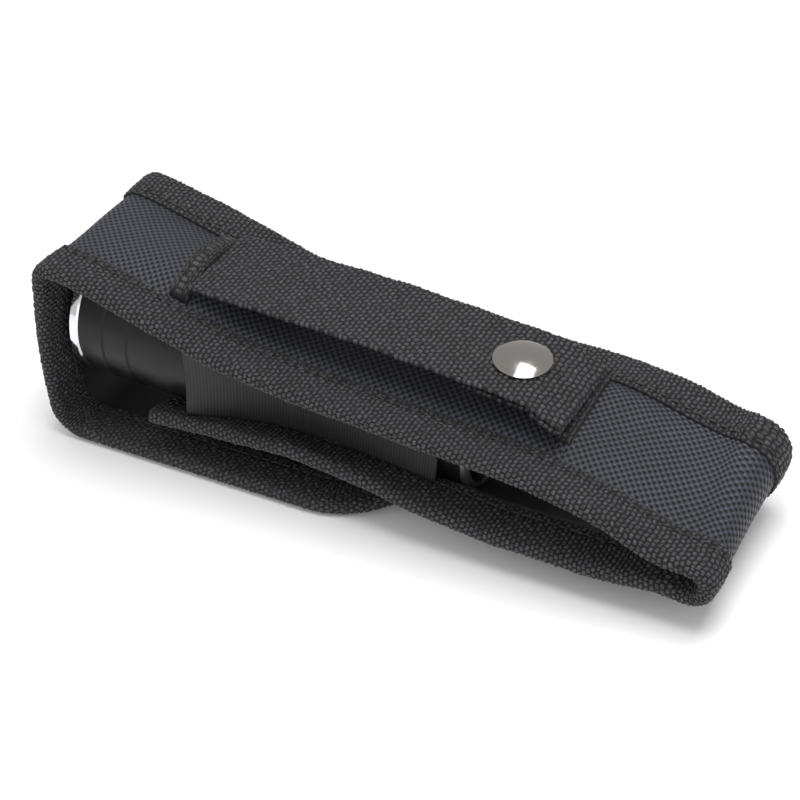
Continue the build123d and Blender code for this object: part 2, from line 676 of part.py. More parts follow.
# ----------------------------------------------------------------- tail cap
TAIL_BORE = THREAD_RADIUS + CLEARANCE
NOSE_START, NOSE_RADIUS = 107.4, 11.7
NOSE_BEVEL, RIM_BEVEL = 0.4, 0.5
BOOT_SEAT, BOOT_HOLE = 106.6, 7.5
BOOT_POCKET, POCKET_DEPTH = 11.0, 1.8
GRIP_SLOTS, GRIP_CENTRE = 24, 98.5
SLOT_LENGTH, SLOT_WIDTH, SLOT_DEPTH = 5.0, 1.4, 0.35
with BuildPart() as tail_cap:
    add(turned([
        (TAIL_FRONT, TAIL_BORE), (TAIL_FRONT, TAIL_RADIUS - RIM_BEVEL),
        (TAIL_FRONT + RIM_BEVEL, TAIL_RADIUS), (NOSE_START, TAIL_RADIUS),
        (NOSE_START, NOSE_RADIUS), (TAIL_FACE, NOSE_RADIUS - NOSE_BEVEL),
        (TAIL_FACE, BOOT_HOLE), (BOOT_SEAT, BOOT_HOLE),
        (BOOT_SEAT, BOOT_POCKET), (BOOT_SEAT - POCKET_DEPTH, BOOT_POCKET),
        (BOOT_SEAT - POCKET_DEPTH, TAIL_BORE),
    ]))
    for turn in range(GRIP_SLOTS):
        angle = 2 * pi * turn / GRIP_SLOTS
        slot_centre = side.from_local_coords(
            (GRIP_CENTRE, TAIL_RADIUS * cos(angle), TAIL_RADIUS * sin(angle))
        )
        outward = slot_centre - side.from_local_coords((GRIP_CENTRE, 0, 0))
        with Locations(Plane(slot_centre, x_dir=along, z_dir=outward)):
            Box(SLOT_LENGTH, SLOT_WIDTH, 2 * SLOT_DEPTH, mode=Mode.SUBTRACT)
finish(tail_cap, "tail_cap")

RIM_PROUD, RIM_SLOPE = 0.3, 0.9
rim_bore = NOSE_RADIUS + RIM_FIT
with BuildPart() as tail_ring:
    add(turned([
        (NOSE_START, rim_bore), (NOSE_START, TAIL_RADIUS),
        (TAIL_FACE - RIM_BEVEL, TAIL_RADIUS), (TAIL_FACE + RIM_PROUD, TAIL_RADIUS - RIM_SLOPE),
        (TAIL_FACE + RIM_PROUD, rim_bore),
    ]))
finish(tail_ring, "tail_ring")

TAIL_SEAL = 0.6
with BuildPart() as tail_o_ring:
    tail_seal_radius = THREAD_RADIUS - TAIL_GROOVE_DEPTH + TAIL_SEAL / 2
    add(o_ring(sum(TAIL_GROOVE) / 2, tail_seal_radius, TAIL_SEAL))
finish(tail_o_ring, "tail_o_ring")

RETAINER = (99.4, 101.4)
SWITCH_RADIUS, SWITCH_REAR, SWITCH_FLOOR = 8.0, 103.4, 0.5
PLUNGER_RADIUS, PLUNGER_START = 3.0, 101.6
plunger_bore = PLUNGER_RADIUS + PLUNGER_PLAY
with BuildPart() as switch_retainer:
    add(turned(disc(*RETAINER, THREAD_RADIUS - FIT, SWITCH_RADIUS)))
finish(switch_retainer, "switch_retainer")

with BuildPart() as switch_body:
    add(turned([
        (RETAINER[0], 0), (RETAINER[0], SWITCH_RADIUS), (SWITCH_REAR, SWITCH_RADIUS),
        (SWITCH_REAR, plunger_bore), (RETAINER[0] + SWITCH_FLOOR, plunger_bore),
        (RETAINER[0] + SWITCH_FLOOR, 0),
    ]))
finish(switch_body, "switch_body")

TAIL_COIL_RADIUS, TAIL_TURNS, TAIL_WIRE = 5.0, 4, 0.7
with BuildPart() as tail_spring:
    end_gap = TAIL_WIRE / 2 + CLEARANCE
    cell_end = CELL_START + CELL_LENGTH
    coil_length = RETAINER[0] - cell_end - 2 * end_gap
    add(coil(cell_end + end_gap, coil_length, TAIL_COIL_RADIUS, TAIL_TURNS, TAIL_WIRE))
finish(tail_spring, "tail_spring")

BOOT_FLANGE, BOOT_FLANGE_RADIUS = (105.2, 106.4), 10.8
with BuildPart() as switch_plunger:
    add(turned(disc(PLUNGER_START, BOOT_FLANGE[0], PLUNGER_RADIUS)))
finish(switch_plunger, "switch_plunger")

BOOT_RADIUS, BOOT_TOP = 7.2, 110.4
BOOT_SINK = 0.2
boot_shoulder = TAIL_FACE - BOOT_SINK
with BuildPart() as button_boot:
    with BuildSketch(side):
        with BuildLine():
            Polyline(
                (BOOT_TOP, 0), (BOOT_FLANGE[0], 0), (BOOT_FLANGE[0], BOOT_FLANGE_RADIUS),
                (BOOT_FLANGE[1], BOOT_FLANGE_RADIUS), (BOOT_FLANGE[1], BOOT_RADIUS),
                (boot_shoulder, BOOT_RADIUS),
            )
            boot_rise = BOOT_TOP - boot_shoulder
            boot_sphere = (BOOT_RADIUS ** 2 + boot_rise ** 2) / (2 * boot_rise)
            RadiusArc((boot_shoulder, BOOT_RADIUS), (BOOT_TOP, 0), boot_sphere)
        make_face()
    revolve(axis=torch_axis)
finish(button_boot, "button_boot")
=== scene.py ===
import math

import bpy
import numpy as np
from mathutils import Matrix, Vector


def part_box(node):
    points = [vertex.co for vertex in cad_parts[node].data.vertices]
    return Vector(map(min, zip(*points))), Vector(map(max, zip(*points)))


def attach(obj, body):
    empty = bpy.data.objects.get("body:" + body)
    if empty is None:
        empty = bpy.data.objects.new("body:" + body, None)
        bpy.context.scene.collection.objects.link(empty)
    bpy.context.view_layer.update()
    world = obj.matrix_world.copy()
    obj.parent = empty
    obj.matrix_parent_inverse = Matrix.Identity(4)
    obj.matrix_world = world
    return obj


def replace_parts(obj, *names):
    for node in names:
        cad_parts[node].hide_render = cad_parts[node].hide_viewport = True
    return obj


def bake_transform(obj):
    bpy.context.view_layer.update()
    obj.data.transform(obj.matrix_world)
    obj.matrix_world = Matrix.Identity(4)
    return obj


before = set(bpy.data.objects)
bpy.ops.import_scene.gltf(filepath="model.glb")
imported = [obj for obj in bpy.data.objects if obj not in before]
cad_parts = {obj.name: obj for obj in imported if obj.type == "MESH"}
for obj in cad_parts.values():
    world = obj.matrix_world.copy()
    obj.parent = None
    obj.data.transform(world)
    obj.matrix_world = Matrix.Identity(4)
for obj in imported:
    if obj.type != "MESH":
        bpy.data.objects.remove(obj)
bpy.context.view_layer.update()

# ---- the frame ----
# Shapes are written in millimetres in torch coordinates: u along the torch axis
# from the bezel ring, y across, w above the axis. place() gives row metres.
MM = 0.001
TILT = math.radians(6.4)
RING_X, AXIS_HEIGHT = -81.6, 30.5
UP = np.array((math.sin(TILT), 0, math.cos(TILT)))    # away from the torch's back side


def place(u, y, w):
    """Row-frame metres of a place in torch millimetres."""
    u, y, w = np.broadcast_arrays(u, y, w)
    x = RING_X + u * math.cos(TILT) + w * math.sin(TILT)
    z = AXIS_HEIGHT - u * math.sin(TILT) + w * math.cos(TILT)
    return np.stack([x, y, z], -1) * MM


def table_w(u):
    """Height of the table's face, below the torch axis at u."""
    return -AXIS_HEIGHT / math.cos(TILT) + u * math.tan(TILT)


def distances(line):
    """Distance of each point of a line from its start, along the line."""
    return np.concatenate([[0], np.cumsum(np.linalg.norm(np.diff(line, axis=0), axis=1))])


def rows_between(start, end, step):
    return np.linspace(start, end, max(int(round(abs(end - start) / step)) + 1, 2))


# ---- the strip ----
STRIP_HALF, SHOULDER, CORE_HALF = 25.0, 13.5, 24.2
TAPE, SHELL, FOAM, LINING = 0.8, 0.7, 1.1, 0.4
SHELL_TOP, FOAM_TOP = TAPE, TAPE + SHELL
LINING_TOP = FOAM_TOP + FOAM
LINING_FACE = LINING_TOP + LINING
THICK = LINING_FACE + TAPE
# u, then the face's height at the centre line, the shoulders and the edges
BACK = [
    (-1, 24.5, 24.4, 24.46), (16, 24.2, 21.4, 22.0), (32, 22.6, 18.2, 18.4),
    (44, 18.6, 15.6, 15.6), (58, 17.4, 14.6, 14.8), (95, 17.4, 14.4, 15.0),
    (128, 17.2, 14.6, 15.4), (146, 13.2, 12.4, 13.4), (164, 8.16, 8.1, 8.14),
]
FRONT = [
    (24, -19.6, -14.6, -10.6), (34, -19.4, -14.2, -8.6), (46, -15.6, -10.8, -6.8),
    (60, -13.2, -8.8, -4.4), (84, -12.5, -6.5, -4.0), (94, -13.1, -5.7, -4.8),
    (101, -13.6, -5.3, -5.4), (120, -13.6, -5.0, -6.0), (138, -9.8, -3.4, -4.2),
    (152, -5.0, -2.2, -2.6), (164, -0.24, -0.3, -0.26),
]
FOLD_CENTRE, FOLD_RADIUS = (169.5, 2.0), 6.1
FOLD_ANGLES = [math.radians(degrees) for degrees in range(-90, 91, 30)]
# The bottom fold's far side stands higher, growing along the back panel, and both
# panels draw back a little there.
FAR_RISE, RISE_AT, RISE_SHARE = 6.0, (95, 128, 146, 164), (0, 1 / 3, 2 / 3, 1)
FAR_BACK_SHIFT, FAR_FRONT_SHIFT, FRONT_SHIFT_AT = -1.5, -1.2, (138, 164)
# The panel's soft bulge beside the strap's free end and the dip under the tail cap:
# their height or depth, place and reach.
SWELL, SWELL_AT, SWELL_REACH = 2.2, (136, 11), (11, 6.5)
HOLLOW, HOLLOW_AT, HOLLOW_REACH = 0.45, (115, 0), (12, 9)
LOOSE_FADE = 20             # the slack dies out over this length above the end wall
FLAP_START_U, FLAP_HINGE_U = 1.0, -1.0
FLAP_LENGTH, FLAP_TIP_RADIUS, FLAP_TAPE = 94.0, 24.0, 11.5
HINGE_W, WALL_TOP, WALL_FOOT_U, WALL_ROUNDING = 24.5, (-8.4, 24.4), -9.4, (6.0, 9.0)
flap_x = place(FLAP_START_U, 0, table_w(FLAP_START_U))[0] / MM


def rounded(corners, radii, step=math.radians(15)):
    """An open polyline with its inner corners turned into sampled arcs."""
    points = [np.array(corners[0], float)]
    for before, corner, after, radius in zip(corners, corners[1:], corners[2:], radii):
        corner = np.array(corner, float)
        a = np.array(before) - corner
        b = np.array(after) - corner
        a, b = a / np.linalg.norm(a), b / np.linalg.norm(b)
        half = math.acos(float(a @ b)) / 2
        middle = corner + (a + b) / np.linalg.norm(a + b) * radius / math.sin(half)
        arm = corner + a * radius / math.tan(half) - middle
        last = corner + b * radius / math.tan(half) - middle
        turn = math.pi - 2 * half
        sign = np.sign(arm[0] * last[1] - arm[1] * last[0])
        for k in range(int(turn / step) + 2):
            angle = sign * turn * k / (int(turn / step) + 1)
            c, s = math.cos(angle), math.sin(angle)
            points.append(middle + (arm[0] * c - arm[1] * s, arm[0] * s + arm[1] * c))
    return points + [np.array(corners[-1], float)]


wall_foot = (WALL_FOOT_U, table_w(WALL_FOOT_U))
wall_end = (FLAP_START_U, table_w(FLAP_START_U))
WALL = rounded([(FLAP_HINGE_U, HINGE_W), WALL_TOP, wall_foot, wall_end], WALL_ROUNDING)


def lane(column):
    """Outer line of the strip at the centre, the shoulders or the edges."""
    line = [(s[0], s[column] - THICK) for s in FRONT]
    for a in FOLD_ANGLES:
        line.append((FOLD_CENTRE[0] + FOLD_RADIUS * math.cos(a),
                     FOLD_CENTRE[1] + FOLD_RADIUS * math.sin(a)))
    line += [(s[0], s[column]) for s in reversed(BACK)]
    line += [tuple(p) for p in WALL[1:]]
    return np.array(line)


def far_moves():
    """Shift (u, w) of each far-side point that makes the bottom fold taller there."""
    moves = [(FAR_FRONT_SHIFT * np.interp(s[0], FRONT_SHIFT_AT, (0, 1)), 0.0) for s in FRONT]
    for a in FOLD_ANGLES:
        moves.append((FAR_RISE / 2 * (math.cos(a) - 1), FAR_RISE / 2 * (math.sin(a) + 1)))
    for station in reversed(BACK):
        share = np.interp(station[0], RISE_AT, RISE_SHARE)
        moves.append((FAR_BACK_SHIFT * share, FAR_RISE * share))
    return np.array(moves + [(0.0, 0.0)] * (len(WALL) - 1))


MOVES = far_moves()
LANES = np.array([lane(c) for c in (1, 2, 3)])
KNOTS = distances(LANES[0])
STRIP_LENGTH = KNOTS[-1]


def hermite(knots, values, t):
    """Smooth curve through values at knots."""
    slope = np.gradient(values, knots, axis=0)
    i = np.clip(np.searchsorted(knots, t, side="right") - 1, 0, len(knots) - 2)
    h = (knots[i + 1] - knots[i])[:, None]
    x = ((t - knots[i]) / (knots[i + 1] - knots[i]))[:, None]
    return (
        (2 * x**3 - 3 * x**2 + 1) * values[i] + (x**3 - 2 * x**2 + x) * h * slope[i]
        + (3 * x**2 - 2 * x**3) * values[i + 1] + (x**3 - x**2) * h * slope[i + 1]
    )


def knot_of(u, start):
    """Distance along the strip of the first knot at u from a given knot on."""
    for k in range(start, len(KNOTS)):
        if abs(LANES[0][k][0] - u) < 1e-6:
            return KNOTS[k]
    raise ValueError("no knot there")


# Distances along the strip: the end of the front panel, the start of the back
# panel, the end wall's hinge and the middle of the end wall.
FOLD_T = knot_of(FRONT[-1][0], 0)
BACK_T = knot_of(BACK[-1][0], len(FRONT))
HINGE_T = knot_of(FLAP_HINGE_U, len(FRONT))
foot_knots = [k for k in range(len(KNOTS)) if LANES[0][k][1] < 0 and KNOTS[k] > HINGE_T]
WALL_T = (KNOTS[foot_knots[0] - 1] + KNOTS[foot_knots[0]]) / 2


def unit(v):
    """Vectors scaled to length one."""
    return v / np.maximum(np.linalg.norm(v, axis=-1, keepdims=True), 1e-12)


def looseness(t, y):
    """Small slack in the cloth, more along the edges than in the middle."""
    edge = (np.abs(y) / STRIP_HALF) ** 2
    slow = np.sin(t * 0.21 + 1.3) * np.sin(t * 0.067 + 0.4 + y * 0.03)
    quick = np.sin(t * 0.83 + y * 0.2) * np.sin(t * 0.31 + 2.0)
    return 0.22 * edge * slow + 0.08 * edge * quick + 0.1 * np.sin(t * 0.11 + y * 0.24)


def far_share(y):
    """Part of the far side's extra height found at places across the strip."""
    return np.clip((np.asarray(y, float) + SHOULDER) / (2 * SHOULDER), 0, 1)


def mound(u, y, at, reach):
    """A smooth bump of height 1 around a place."""
    return np.exp(-(((u - at[0]) / reach[0]) ** 2) - ((y - at[1]) / reach[1]) ** 2)


def swell(u, y):
    """Height of the panel's soft bulge beside the strap's free end."""
    return SWELL * mound(u, y, SWELL_AT, SWELL_REACH)


def hollow(u, y):
    """Depth of the dip that the tail cap presses into the front panel."""
    return HOLLOW * mound(u, y, HOLLOW_AT, HOLLOW_REACH)


def strip_surface(t, y):
    """Points (mm, row frame) and outward normals of the strip's outer face."""
    centre, shoulder, edge = (hermite(KNOTS, line, t)[:, None, :] for line in LANES)
    reach = np.abs(y)[None, :, None]
    inner = centre + (shoulder - centre) * np.minimum(reach / SHOULDER, 1) ** 2
    outer = (edge - shoulder) * np.maximum(reach - SHOULDER, 0) / (STRIP_HALF - SHOULDER)
    uw = inner + outer + hermite(KNOTS, MOVES, t)[:, None, :] * far_share(y)[None, :, None]
    on_back = ((t > BACK_T) & (t < HINGE_T))[:, None]
    uw[..., 1] += swell(uw[..., 0], y[None, :]) * on_back
    uw[..., 1] -= hollow(uw[..., 0], y[None, :]) * (t < FOLD_T)[:, None]
    points = place(uw[..., 0], y[None, :], uw[..., 1]) / MM
    t_slope = np.gradient(points, axis=0)
    y_slope = np.gradient(points, y, axis=1)
    normals = unit(np.cross(y_slope, t_slope))
    free = np.clip((WALL_T - t) / LOOSE_FADE, 0, 1)[:, None, None]
    points += normals * looseness(t[:, None], y[None, :])[..., None] * free
    return points, normals


# ---- mesh helpers ----
def placed(name, data):
    """A new object in the scene."""
    made = bpy.data.objects.new(name, data)
    bpy.context.scene.collection.objects.link(made)
    return made


def ring_index(rows, columns):
    """Point numbers of a stack of rings, and the quads between the rings."""
    index = np.arange(rows * columns).reshape(rows, columns)
    after = np.roll(index, -1, axis=1)
    return index, np.stack([index[:-1], after[:-1], after[1:], index[1:]], -1).reshape(-1, 4)


def grid_uv(s, c):
    """Weave coordinates of a grid of points, from distances along and across the cloth."""
    return np.stack(np.broadcast_arrays(s, c), -1)


def skin(name, rings, uv=None):
    """Closed mesh through rings of points (rows, columns, 3), capped at both ends."""
    rows, columns = rings.shape[:2]
    index, quads = ring_index(rows, columns)
    corners = np.concatenate([quads.ravel(), index[0, ::-1], index[-1]]).astype(np.int32)
    sizes = np.array([4] * len(quads) + [columns] * 2, np.int32)
    starts = np.concatenate([[0], np.cumsum(sizes)[:-1]]).astype(np.int32)
    mesh = bpy.data.meshes.new(name)
    mesh.vertices.add(rows * columns)
    mesh.vertices.foreach_set("co", (rings * MM).astype(np.float32).ravel())
    mesh.loops.add(len(corners))
    mesh.loops.foreach_set("vertex_index", corners)
    mesh.polygons.add(len(sizes))
    mesh.polygons.foreach_set("loop_start", starts)
    mesh.polygons.foreach_set("loop_total", sizes)
    mesh.polygons.foreach_set("use_smooth", np.ones(len(sizes), bool))
    if uv is not None:
        layer = mesh.uv_layers.new(name="weave")
        flat = uv.reshape(-1, 2)[corners].astype(np.float32)
        layer.data.foreach_set("uv", flat.ravel())
    mesh.update(calc_edges=True)
    mesh.validate()
    return placed(name, mesh)


def joined(name, pieces):
    """Sewing threads as one object, out of (points, quads) pairs."""
    points, faces, offset = [], [], 0
    for p, f in pieces:
        points.append(p)
        faces.append(f + offset)
        offset += len(p)
    mesh = bpy.data.meshes.new(name)
    mesh.from_pydata((np.concatenate(points) * MM).tolist(), [], np.concatenate(faces).tolist())
    mesh.polygons.foreach_set("use_smooth", np.ones(len(mesh.polygons), bool))
    mesh.update()
    mesh.materials.append(THREAD)
    return placed(name, mesh)


def flat_top(phase):
    """From 0 in the gap between two threads to 1 on top of each."""
    x = np.clip((np.abs(np.sin(np.pi * phase)) - 0.16) / 0.5, 0, 1)
    return x * x * (3 - 2 * x)


def weave_relief(s, c, along_pitch, across_pitch):
    """Height from 0 to 1 of a ribbed tape at distances s along and c across it.

    Ribs run across the tape and each is split in staggered floats. Every float has
    its own height and lean, and the threads wander a little.
    """
    s = s + 0.14 * np.sin(c * 0.9 + s * 0.05) + 0.1 * np.sin(c * 2.3 + s * 0.31)
    c = c + 0.12 * np.sin(s * 0.7) + 0.08 * np.sin(s * 1.9 + c * 0.4)
    rib = np.floor(s / along_pitch)
    along = flat_top(s / along_pitch)
    phase = c / across_pitch + 0.5 * (rib % 2)
    cell = np.floor(phase)
    odd = np.sin(cell * 12.9898 + rib * 78.233) * 43758.5453
    odd = odd - np.floor(odd)
    split = flat_top(phase)
    tilt = 0.3 * (s / along_pitch - rib - 0.5) * (1 - 2 * (cell % 2))
    return np.clip(along * (0.16 + 0.84 * split) * (0.7 + 0.3 * odd + tilt), 0, 1)


def grain(s, c, seed):
    """Irregular variation of thread height, the same each run."""
    a = np.sin(s * 1.7 + c * 2.9 + seed) * np.sin(s * 0.53 - c * 1.1 + seed * 1.7)
    b = np.sin(s * 3.9 - c * 4.3 + seed * 0.3) * np.sin(s * 2.1 + c * 0.7)
    return 0.6 * a + 0.4 * b


# ---- materials ----
def grey(value):
    return (value,) * 3


def scaled(colour, share):
    return tuple(share * x for x in colour)


def material(name, colour, roughness, metallic=0.0, **extra):
    """A Principled material with its plain values set, its tree and its shader."""
    made = bpy.data.materials.new(name)
    made.use_nodes = True
    shader = made.node_tree.nodes["Principled BSDF"]
    shader.inputs["Base Color"].default_value = (*colour, 1)
    shader.inputs["Roughness"].default_value = roughness
    shader.inputs["Metallic"].default_value = metallic
    for socket, value in extra.items():
        shader.inputs[socket.replace("_", " ")].default_value = value
    return made, made.node_tree, shader


def node(tree, kind, **settings):
    made = tree.nodes.new(kind)
    for key, value in settings.items():
        setattr(made, key, value)
    return made


def maths(tree, operation, *values):
    made = node(tree, "ShaderNodeMath", operation=operation)
    for socket, value in zip(made.inputs, values):
        if isinstance(value, (int, float)):
            socket.default_value = value
        else:
            tree.links.new(value, socket)
    return made.outputs[0]


def ramp(tree, value, stops):
    made = node(tree, "ShaderNodeValToRGB")
    tree.links.new(value, made.inputs[0])
    elements = made.color_ramp.elements
    while len(elements) < len(stops):
        elements.new(0.5)
    for element, (position, colour) in zip(elements, stops):
        element.position = position
        element.color = (*colour, 1)
    return made.outputs[0]


def multiplied(tree, first, second):
    """Product of two colours."""
    made = node(tree, "ShaderNodeMixRGB", blend_type="MULTIPLY")
    made.inputs[0].default_value = 1.0
    tree.links.new(first, made.inputs[1])
    tree.links.new(second, made.inputs[2])
    return made.outputs[0]


def pattern(tree, kind, where=None, settings=None, **values):
    """A texture node in object coordinates, metres, or at a given place."""
    made = node(tree, kind, **(settings or {}))
    for socket, value in values.items():
        made.inputs[socket].default_value = value
    where = where or node(tree, "ShaderNodeTexCoord").outputs["Object"]
    tree.links.new(where, made.inputs["Vector"])
    return made


def tint(shader, value, stops, socket="Base Color"):
    """Sets the shader's colour, or another socket, by a ramp over a value."""
    tree = shader.id_data
    tree.links.new(ramp(tree, value, stops), shader.inputs[socket])


def noise(tree, scale, detail=3.0):
    """Noise whose scale is in features per metre."""
    return pattern(tree, "ShaderNodeTexNoise", Scale=scale, Detail=detail).outputs[0]


def bump(shader, height, distance, strength, under=None):
    """Relief of a given height in metres, over another bump where there is one."""
    tree = shader.id_data
    made = node(tree, "ShaderNodeBump")
    made.inputs["Strength"].default_value = strength
    made.inputs["Distance"].default_value = distance
    tree.links.new(height, made.inputs["Height"])
    if under is not None:
        tree.links.new(under, made.inputs["Normal"])
    tree.links.new(made.outputs[0], shader.inputs["Normal"])
    return made.outputs[0]


def weave_uv(tree):
    """Distances along and across the cloth, millimetres."""
    uv = node(tree, "ShaderNodeUVMap", uv_map="weave")
    split = node(tree, "ShaderNodeSeparateXYZ")
    tree.links.new(uv.outputs[0], split.inputs[0])
    return split.outputs[0], split.outputs[1]


def weave_height(tree):
    return node(tree, "ShaderNodeAttribute", attribute_name="relief").outputs["Fac"]


def wobble(tree, value, scale, amount):
    """A distance shifted a little by slow noise, so threads don't run dead straight."""
    shift = maths(tree, "MULTIPLY", maths(tree, "SUBTRACT", noise(tree, scale), 0.5), amount)
    return maths(tree, "ADD", value, shift)


def waves(tree, value, length):
    """Sine of a distance, with waves of a given length."""
    return maths(tree, "SINE", maths(tree, "MULTIPLY", value, 2 * math.pi / length))


def plain_weave(tree, pitch_s, pitch_c):
    """From -1 in the sunk cells to 1 on the raised ones of a plain weave."""
    s, c = weave_uv(tree)
    s, c = wobble(tree, s, 160, 0.35), wobble(tree, c, 130, 0.35)
    a, b = waves(tree, s, 2 * pitch_s), waves(tree, c, 2 * pitch_c)
    return maths(tree, "MULTIPLY", a, b)


CLOTH_PITCH = (0.98, 0.92)
# Painted shade of the cloth's weave: near-black in the gaps, darker on the thread flanks, lightest
# on the crowns.
CLOTH_GAP_SHADE, CLOTH_FLANK_SHADE = (0.0005, 0.0005, 0.0006), (0.021, 0.022, 0.03)
CLOTH_HIGH = (0.039, 0.041, 0.059)
RIPPLE, FILAMENT = 0.6, 0.42        # widths of the webbing's painted highlight stripes and of its filaments


def ballistic_cloth():
    made, tree, shader = material("ballistic_nylon", (0.03, 0.031, 0.037), 0.5, Sheen_Weight=0.03,
                                  Sheen_Roughness=0.4, Specular_IOR_Level=0.4)
    weave = plain_weave(tree, *CLOTH_PITCH)
    raised = maths(tree, "MULTIPLY_ADD", weave, 0.5, 0.5)
    # Painted shade: the weave's gaps and thread flanks are coloured darker than the thread crowns.
    cloth = ramp(tree, raised, [(0.27, CLOTH_GAP_SHADE), (0.35, CLOTH_FLANK_SHADE), (0.9, CLOTH_HIGH)])
    patches = ramp(tree, noise(tree, 45), [(0.3, grey(0.82)), (0.7, (1.12, 1.12, 1.14))])
    tree.links.new(multiplied(tree, cloth, patches), shader.inputs["Base Color"])
    tint(shader, raised, [(0.2, grey(0.8)), (0.8, grey(0.4))], "Roughness")
    fibres = bump(shader, noise(tree, 5200, 2.0), 0.00006, 0.5)
    bump(shader, raised, 0.00028, 0.9, fibres)
    return made


def webbing(name, light, dark, gloss):
    """Coarse woven tape: the floats are in the mesh, the fibres here. Its colour holds painted
    shade in the gaps, with dark as the gap colour, and painted highlight stripes along the
    filaments.
    """
    made, tree, shader = material(name, light, gloss, Sheen_Weight=0.015, Sheen_Roughness=0.5,
                                  Specular_IOR_Level=0.6)
    height = weave_height(tree)
    # Painted shade: near-black between the floats, lighter toward their tops.
    shade = ramp(tree, height, [(0.3, dark), (0.55, scaled(light, 0.35)), (0.9, light)])
    patches = ramp(tree, noise(tree, 700, 4.0), [(0.32, (0.5, 0.5, 0.52)), (0.7, (1.7, 1.7, 1.78))])
    tint(shader, height, [(0.2, grey(0.9)), (0.9, grey(gloss))], "Roughness")
    across = weave_uv(tree)[1]
    # Painted highlight: stripes along the filaments, multiplied into the colour.
    strands = waves(tree, wobble(tree, across, 300, 0.4), RIPPLE)
    strands = maths(tree, "MULTIPLY_ADD", strands, 0.5, 0.5)
    painted_highlight_stripes = ramp(tree, strands, [(0.1, grey(0.72)), (0.9, grey(1.25))])
    colour = multiplied(tree, multiplied(tree, shade, patches), painted_highlight_stripes)
    tree.links.new(colour, shader.inputs["Base Color"])
    filaments = waves(tree, wobble(tree, across, 900, 0.5), FILAMENT)
    low = bump(shader, filaments, 0.00008, 0.6)
    bump(shader, noise(tree, 4200, 3.0), 0.00012, 0.6, low)
    return made


def lining_cloth():
    made, tree, shader = material("fine_lining", (0.018, 0.018, 0.02), 0.62)
    weave = plain_weave(tree, 0.42, 0.42)
    raised = maths(tree, "MULTIPLY", maths(tree, "ADD", weave, 1.0), 0.5)
    # Painted shade: the sunk cells of the weave are coloured darker than the raised ones.
    tint(shader, raised, [(0.2, (0.009, 0.009, 0.01)), (0.8, (0.024, 0.024, 0.027))])
    bump(shader, weave, 0.00008, 0.5)
    return made


def elastic_cloth():
    made, tree, shader = material("ribbed_elastic", (0.02, 0.02, 0.021), 0.6)
    height = weave_height(tree)
    # Painted shade: darker between the ribs, lighter on their crests.
    tint(shader, height, [(0.1, (0.004, 0.004, 0.004)), (0.8, (0.018, 0.018, 0.0195))])
    bump(shader, noise(tree, 3600, 3.0), 0.0001, 0.5)
    return made


def thread_material():
    made, tree, shader = material("sewing_thread", (0.03, 0.03, 0.032), 0.38)
    bands = {"wave_type": "BANDS", "bands_direction": "DIAGONAL"}
    twist = pattern(tree, "ShaderNodeTexWave", settings=bands, Scale=1400).outputs["Fac"]
    bump(shader, twist, 0.00006, 0.6)
    tint(shader, twist, [(0.1, (0.012, 0.012, 0.013)), (0.9, (0.04, 0.04, 0.043))])
    return made


def foam_material():
    made, tree, shader = material("padding_foam", (0.05, 0.05, 0.052), 0.9)
    cells = noise(tree, 1500, 2.0)
    tint(shader, cells, [(0.3, grey(0.02)), (0.7, grey(0.06))])
    bump(shader, cells, 0.0003, 0.7)
    return made


def pile_material(name, colour, scale):
    """Hook or loop pile."""
    made, tree, shader = material(name, colour, 0.75)
    tufts = pattern(tree, "ShaderNodeTexVoronoi", Scale=scale).outputs["Distance"]
    tint(shader, tufts, [(0.1, colour), (0.7, scaled(colour, 0.3))])
    bump(shader, tufts, 0.0004, 0.8)
    return made


def metal(name, colour, roughness, marks=0.04, grain_scale=300):
    """Bare or plated metal with faint handling marks."""
    made, tree, shader = material(name, colour, roughness, 1.0)
    smudge = noise(tree, grain_scale, 4.0)
    low, high = max(roughness - marks, 0.02), roughness + marks
    tint(shader, smudge, [(0.3, grey(low)), (0.7, grey(high))], "Roughness")
    tint(shader, noise(tree, 60), [(0.3, scaled(colour, 0.92)), (0.7, colour)])
    bump(shader, smudge, 0.00002, 0.25)
    return made


def anodised(name, colour, roughness, line_scale):
    """Black hard-anodised aluminium with the lathe's fine turning lines."""
    made, tree, shader = material(name, colour, roughness, 0.55)
    turned = pattern(tree, "ShaderNodeMapping", Rotation=(0, TILT, 0)).outputs[0]
    bands = {"wave_type": "BANDS", "bands_direction": "X"}
    rings = pattern(tree, "ShaderNodeTexWave", turned, bands, Scale=line_scale, Distortion=0.6)
    speckle = noise(tree, 6000, 2.0)
    first = bump(shader, rings.outputs["Fac"], 0.000012, 0.5)
    bump(shader, speckle, 0.00002, 0.35, first)
    worn, bare = grey(roughness - 0.06), grey(roughness + 0.1)
    tint(shader, noise(tree, 240, 5.0), [(0.35, worn), (0.75, bare)], "Roughness")
    tint(shader, noise(tree, 120), [(0.3, scaled(colour, 0.8)), (0.7, scaled(colour, 1.15))])
    return made


def speckled(name, colour, roughness, scale, dark, relief, strength):
    """A finish with fine noise in its colour and its relief."""
    made, tree, shader = material(name, colour, roughness)
    speckle = noise(tree, scale)
    tint(shader, speckle, [(0.3, scaled(colour, dark)), (0.7, colour)])
    bump(shader, speckle, relief, strength)
    return made


def rubber(name, colour):
    return speckled(name, colour, 0.62, 2600, 0.7, 0.00006, 0.5)


def moulded(name, colour, roughness):
    """Plain moulded, printed or painted part inside the torch."""
    return speckled(name, colour, roughness, 900, 0.85, 0.00003, 0.3)


CLOTH = ballistic_cloth()
